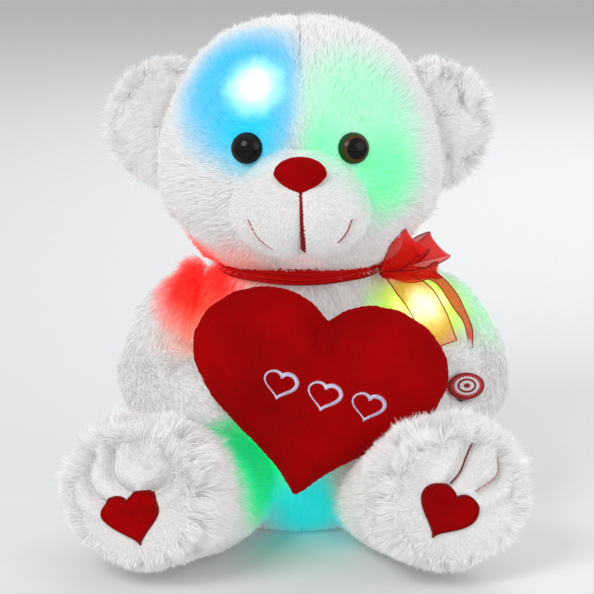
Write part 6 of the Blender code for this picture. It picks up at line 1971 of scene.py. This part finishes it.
@dataclass
class PressBadge:
    """The felt badge over the press switch, with a plain ring and dot."""

    middle: Place = BADGE_MIDDLE
    way: Place = (0.3676, -0.7967, 0.4796)
    half_width: float = 0.0100
    half_height: float = 0.0066

    SIDES: ClassVar[int] = 72

    def __post_init__(self) -> None:
        """Works out the badge's own axes."""
        self.matrix = facing(self.middle, Vector(self.way).normalized())

    def plate(self, name: str, outline: np.ndarray, low: float, high: float) -> bpy.types.Object:
        """A flat felt shape with a softened edge, set on the badge's axes."""
        Bench.clear()
        bpy.ops.mesh.primitive_circle_add(
            vertices=len(outline), radius=0.01, fill_type="NGON", location=(0, 0, 0)
        )
        piece = Bench.named(name)
        rows = np.concatenate([outline, np.full((len(outline), 1), low)], 1)
        Bench.move_to(piece, rows)
        Bench.only(piece)
        bpy.ops.object.mode_set(mode="EDIT")
        bpy.ops.mesh.select_all(action="SELECT")
        bpy.ops.mesh.extrude_region_move(TRANSFORM_OT_translate={"value": (0, 0, high - low)})
        bpy.ops.mesh.select_all(action="SELECT")
        bpy.ops.mesh.normals_make_consistent(inside=False)
        bpy.ops.object.mode_set(mode="OBJECT")
        Bench.apply(piece, "BEVEL", width=(high - low) * 0.35, segments=2, limit_method="ANGLE")
        piece.data.transform(self.matrix)
        Bench.smooth(piece, 40)
        return piece

    def build(self) -> None:
        """Makes the badge's felt, its pale star, ring and dot, and its stitching."""
        count = self.SIDES
        angle = 2 * math.pi * np.arange(count) / count
        oval = np.stack([self.half_width * np.cos(angle), self.half_height * np.sin(angle)], 1)
        base = self.plate("press_badge_felt", oval, -0.0010, 0.0010)
        present(base, Body.BUTTON, FELT_RED, ["press_badge"])
        tooth = 1 + 0.085 * np.array((1.0, 0.0, -1.0))[np.arange(count) % 3][:, None]
        star = self.plate("press_badge_centre", oval * 0.69 * tooth, 0.0009, 0.0013)
        present(star, Body.BUTTON, FELT_PALE)
        ring = np.concatenate([oval, oval[:1]]) * 0.46
        way = np.concatenate([ring, np.full((len(ring), 1), 0.0013)], 1)
        cord = Bench.mesh("press_badge_ring", *merge([tube_mesh(moved(way, self.matrix), 0.00052, 8)]))
        present(cord, Body.BUTTON, PATCH_THREAD)
        dot = self.plate("press_badge_dot", oval * 0.17, 0.0012, 0.0018)
        present(dot, Body.BUTTON, PATCH_THREAD)
        outline = np.concatenate([oval * 0.93, np.full((count, 1), 0.0010)], 1)
        places = moved(outline, self.matrix)
        normals = np.tile(np.array(self.matrix)[:3, 2], (count, 1))
        run = round_run(places)
        made = Stitches.lay("press_badge_stitch", places, normals, np.cross(normals, run), 0.0006, 0.00022)
        present(made, Body.BUTTON, PATCH_THREAD)


@dataclass
class Workings:
    """The zip, battery box, switch, board, leads and lamps, each with its finish."""

    finishes: dict[str, Finish] = field(default_factory=lambda: {
        "zip_tape": TapeFinish("zip_cloth"),
        "zip_teeth": MouldedFinish("zip_nylon", (0.72, 0.71, 0.69), (0.85, 0.85, 0.84), 0.35),
        "zip_slider": MouldedFinish("zip_metal", (0.62, 0.61, 0.60), (0.75, 0.74, 0.72), 0.30, 1.0, 0.5),
        "zip_pull": MouldedFinish("pull_metal", (0.60, 0.59, 0.58), (0.78, 0.77, 0.75), 0.28, 1.0, 0.6),
        "battery_box": MouldedFinish("box_plastic", (0.78, 0.78, 0.76), (0.70, 0.70, 0.68), 0.42),
        "battery_lid": MouldedFinish("lid_plastic", (0.76, 0.76, 0.74), (0.68, 0.68, 0.66), 0.40),
        "lid_screw": MouldedFinish("screw_steel", (0.55, 0.55, 0.56), (0.40, 0.39, 0.38), 0.30, 1.0, 0.6),
        "battery_cell_1": CELL,
        "battery_cell_2": CELL,
        "battery_cell_3": CELL,
        "contact_springs": STEEL,
        "contact_plate": STEEL,
        "controller_board": MouldedFinish("board_laminate", (0.02, 0.16, 0.06), (0.05, 0.28, 0.12), 0.35),
        "timer_chip": MouldedFinish("chip_epoxy", (0.02, 0.02, 0.022), (0.06, 0.06, 0.06), 0.55),
        "switch_plunger": MouldedFinish("switch_plastic", (0.72, 0.10, 0.09), (0.80, 0.25, 0.22), 0.38),
        "switch_spring": STEEL,
        "switch_housing": MouldedFinish("housing_plastic", (0.12, 0.12, 0.13), (0.22, 0.22, 0.23), 0.45),
        "lead_trunk": LEAD,
        "lead_head": LEAD,
        "lead_belly": LEAD,
        "lead_switch": LEAD,
        "lead_battery": LEAD,
        "eye_washer_right": WASHER,
        "eye_washer_left": WASHER,
        "led_blue": LampFinish("lamp_blue", (0.10, 0.40, 1.00)),
        "led_cheek_green": LAMP_GREEN,
        "led_belly_green": LAMP_GREEN,
        "led_red": LampFinish("lamp_red", (1.00, 0.05, 0.03)),
        "led_yellow": LampFinish("lamp_yellow", (1.00, 0.85, 0.20)),
        "led_belly_cyan": LampFinish("lamp_cyan", (0.10, 0.85, 0.90)),
    })

    def build(self) -> None:
        """Gives every CAD node that is kept its own finish."""
        for node, finish in self.finishes.items():
            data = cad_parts[node].data
            data.materials.clear()
            data.materials.append(finish.make())
            LOG.info("%s: finished as %s", node, finish.name)


@dataclass
class Studio:
    """The floor, the lamps, the sky and the camera."""

    eye: Place = (-0.0015, -1.1308, 0.4144)
    aim: Place = (-0.0015, -0.0200, 0.1168)
    lens: float = 139.4
    floor_half: float = 6.0

    def build(self) -> None:
        """Sets the scene round the toy."""
        self.floor()
        self.lamp("key", (-0.75, -1.05, 1.15), 0.70, 12.0, (1.0, 0.99, 0.97))
        self.lamp("fill", (1.05, -0.80, 0.65), 1.00, 5.0, (0.95, 0.97, 1.0))
        self.lamp("rim", (0.35, 1.00, 0.95), 0.80, 7.0, (1.0, 1.0, 1.0))
        self.lamp("spark", (0.95, -0.10, 0.47), 0.05, 0.25, (1.0, 1.0, 1.0))
        self.sky()
        self.camera()

    def floor(self) -> None:
        """A wide pale card on which the toy sits."""
        Bench.clear()
        bpy.ops.mesh.primitive_plane_add(size=2 * self.floor_half, location=(0, 0, -0.0004))
        card = Bench.settle(Bench.named("floor_card"))
        card.data.materials.append(FloorFinish("floor_card").make())

    def lamp(self, name: str, place: Place, size: float, power: float, colour: Colour) -> None:
        """One square soft lamp aimed at the toy."""
        data = bpy.data.lights.new(name, "AREA")
        data.size, data.energy, data.color = size, power, colour
        lamp = bpy.data.objects.new(name, data)
        bpy.context.scene.collection.objects.link(lamp)
        lamp.location = place
        lamp.rotation_euler = (Vector(self.aim) - Vector(place)).to_track_quat("-Z", "Y").to_euler()

    def sky(self) -> None:
        """An even sky, pale to the camera and in gloss."""
        world = bpy.data.worlds.new("sky")
        bpy.context.scene.world = world
        world.use_nodes = True
        graph = Graph(world.node_tree)
        background = next(node for node in world.node_tree.nodes if node.type == "BACKGROUND")
        path = graph.add("ShaderNodeLightPath")
        seen = graph.math("MAXIMUM", path.outputs["Is Camera Ray"], path.outputs["Is Transmission Ray"])
        seen = graph.math("MAXIMUM", seen, path.outputs["Is Glossy Ray"])
        graph.feed(background.inputs["Color"], graph.mix(seen, (0.80, 0.82, 0.85), (1.0, 1.0, 1.0)))
        graph.feed(background.inputs["Strength"], graph.math("MULTIPLY_ADD", seen, 0.40, 0.56))

    def camera(self) -> None:
        """The camera at the photograph's angle."""
        data = bpy.data.cameras.new("camera")
        data.lens, data.sensor_width = self.lens, 36.0
        camera = bpy.data.objects.new("camera", data)
        bpy.context.scene.collection.objects.link(camera)
        camera.location = self.eye
        camera.rotation_euler = (Vector(self.aim) - Vector(self.eye)).to_track_quat("-Z", "Y").to_euler()
        bpy.context.scene.camera = camera
        bpy.context.scene.view_settings.view_transform = "Standard"


ARM_RIGHT_ROUTE = (
    (-0.81, 0.08, 0.83), (-1.10, -0.04, 0.70), (-1.19, -0.23, 0.565),
    (-1.10, -0.62, 0.535), (-0.91, -0.94, 0.565), (-0.74, -1.12, 0.58),
)
ARM_LEFT_ROUTE = (
    (0.84, 0.08, 0.85), (1.18, -0.04, 0.735), (1.36, -0.27, 0.625),
    (1.34, -0.62, 0.56), (1.18, -0.87, 0.545), (0.99, -1.06, 0.545),
)
TOES_RIGHT = (
    ((-0.0105, 0.0215), (-0.0108, 0.0129), (-0.0080, 0.0075), (-0.0010, 0.0035)),
    ((-0.0205, 0.0180), (-0.0225, 0.0078), (-0.0195, 0.0005), (-0.0145, -0.0025)),
    ((0.0155, 0.0210), (0.0175, 0.0155), (0.0160, 0.0095), (0.0099, 0.0053)),
)
TOES_LEFT = (
    ((0.0091, 0.0255), (0.0060, 0.0196), (0.0029, 0.0132), (-0.0016, 0.0083)),
    ((0.0215, 0.0185), (0.0218, 0.0125), (0.0192, 0.0079), (0.0110, 0.0034)),
)


def main() -> None:
    """Builds the studio and every sub-assembly."""
    logging.basicConfig(level=logging.INFO, format="%(name)s %(message)s")
    Studio().build()
    assemblies = (
        Workings(), Torso(), Arm(Side.RIGHT, ARM_RIGHT_ROUTE), Arm(Side.LEFT, ARM_LEFT_ROUTE),
        Leg(Side.RIGHT, 20.0, 0.072, TOES_RIGHT, (0.0008, -0.0070), 19.0, (WHITE_THREAD,) * 3),
        Leg(Side.LEFT, 14.0, 0.068, TOES_LEFT, (-0.0045, -0.0040), -31.0, (TOE_THREAD, PINK_THREAD)),
        Head(), Muzzle(), HeartCushion(), NeckBow(), PressBadge(),
    )
    for assembly in assemblies:
        LOG.info("building %s", type(assembly).__name__)
        assembly.build()


if __name__ == "__main__":
    main()
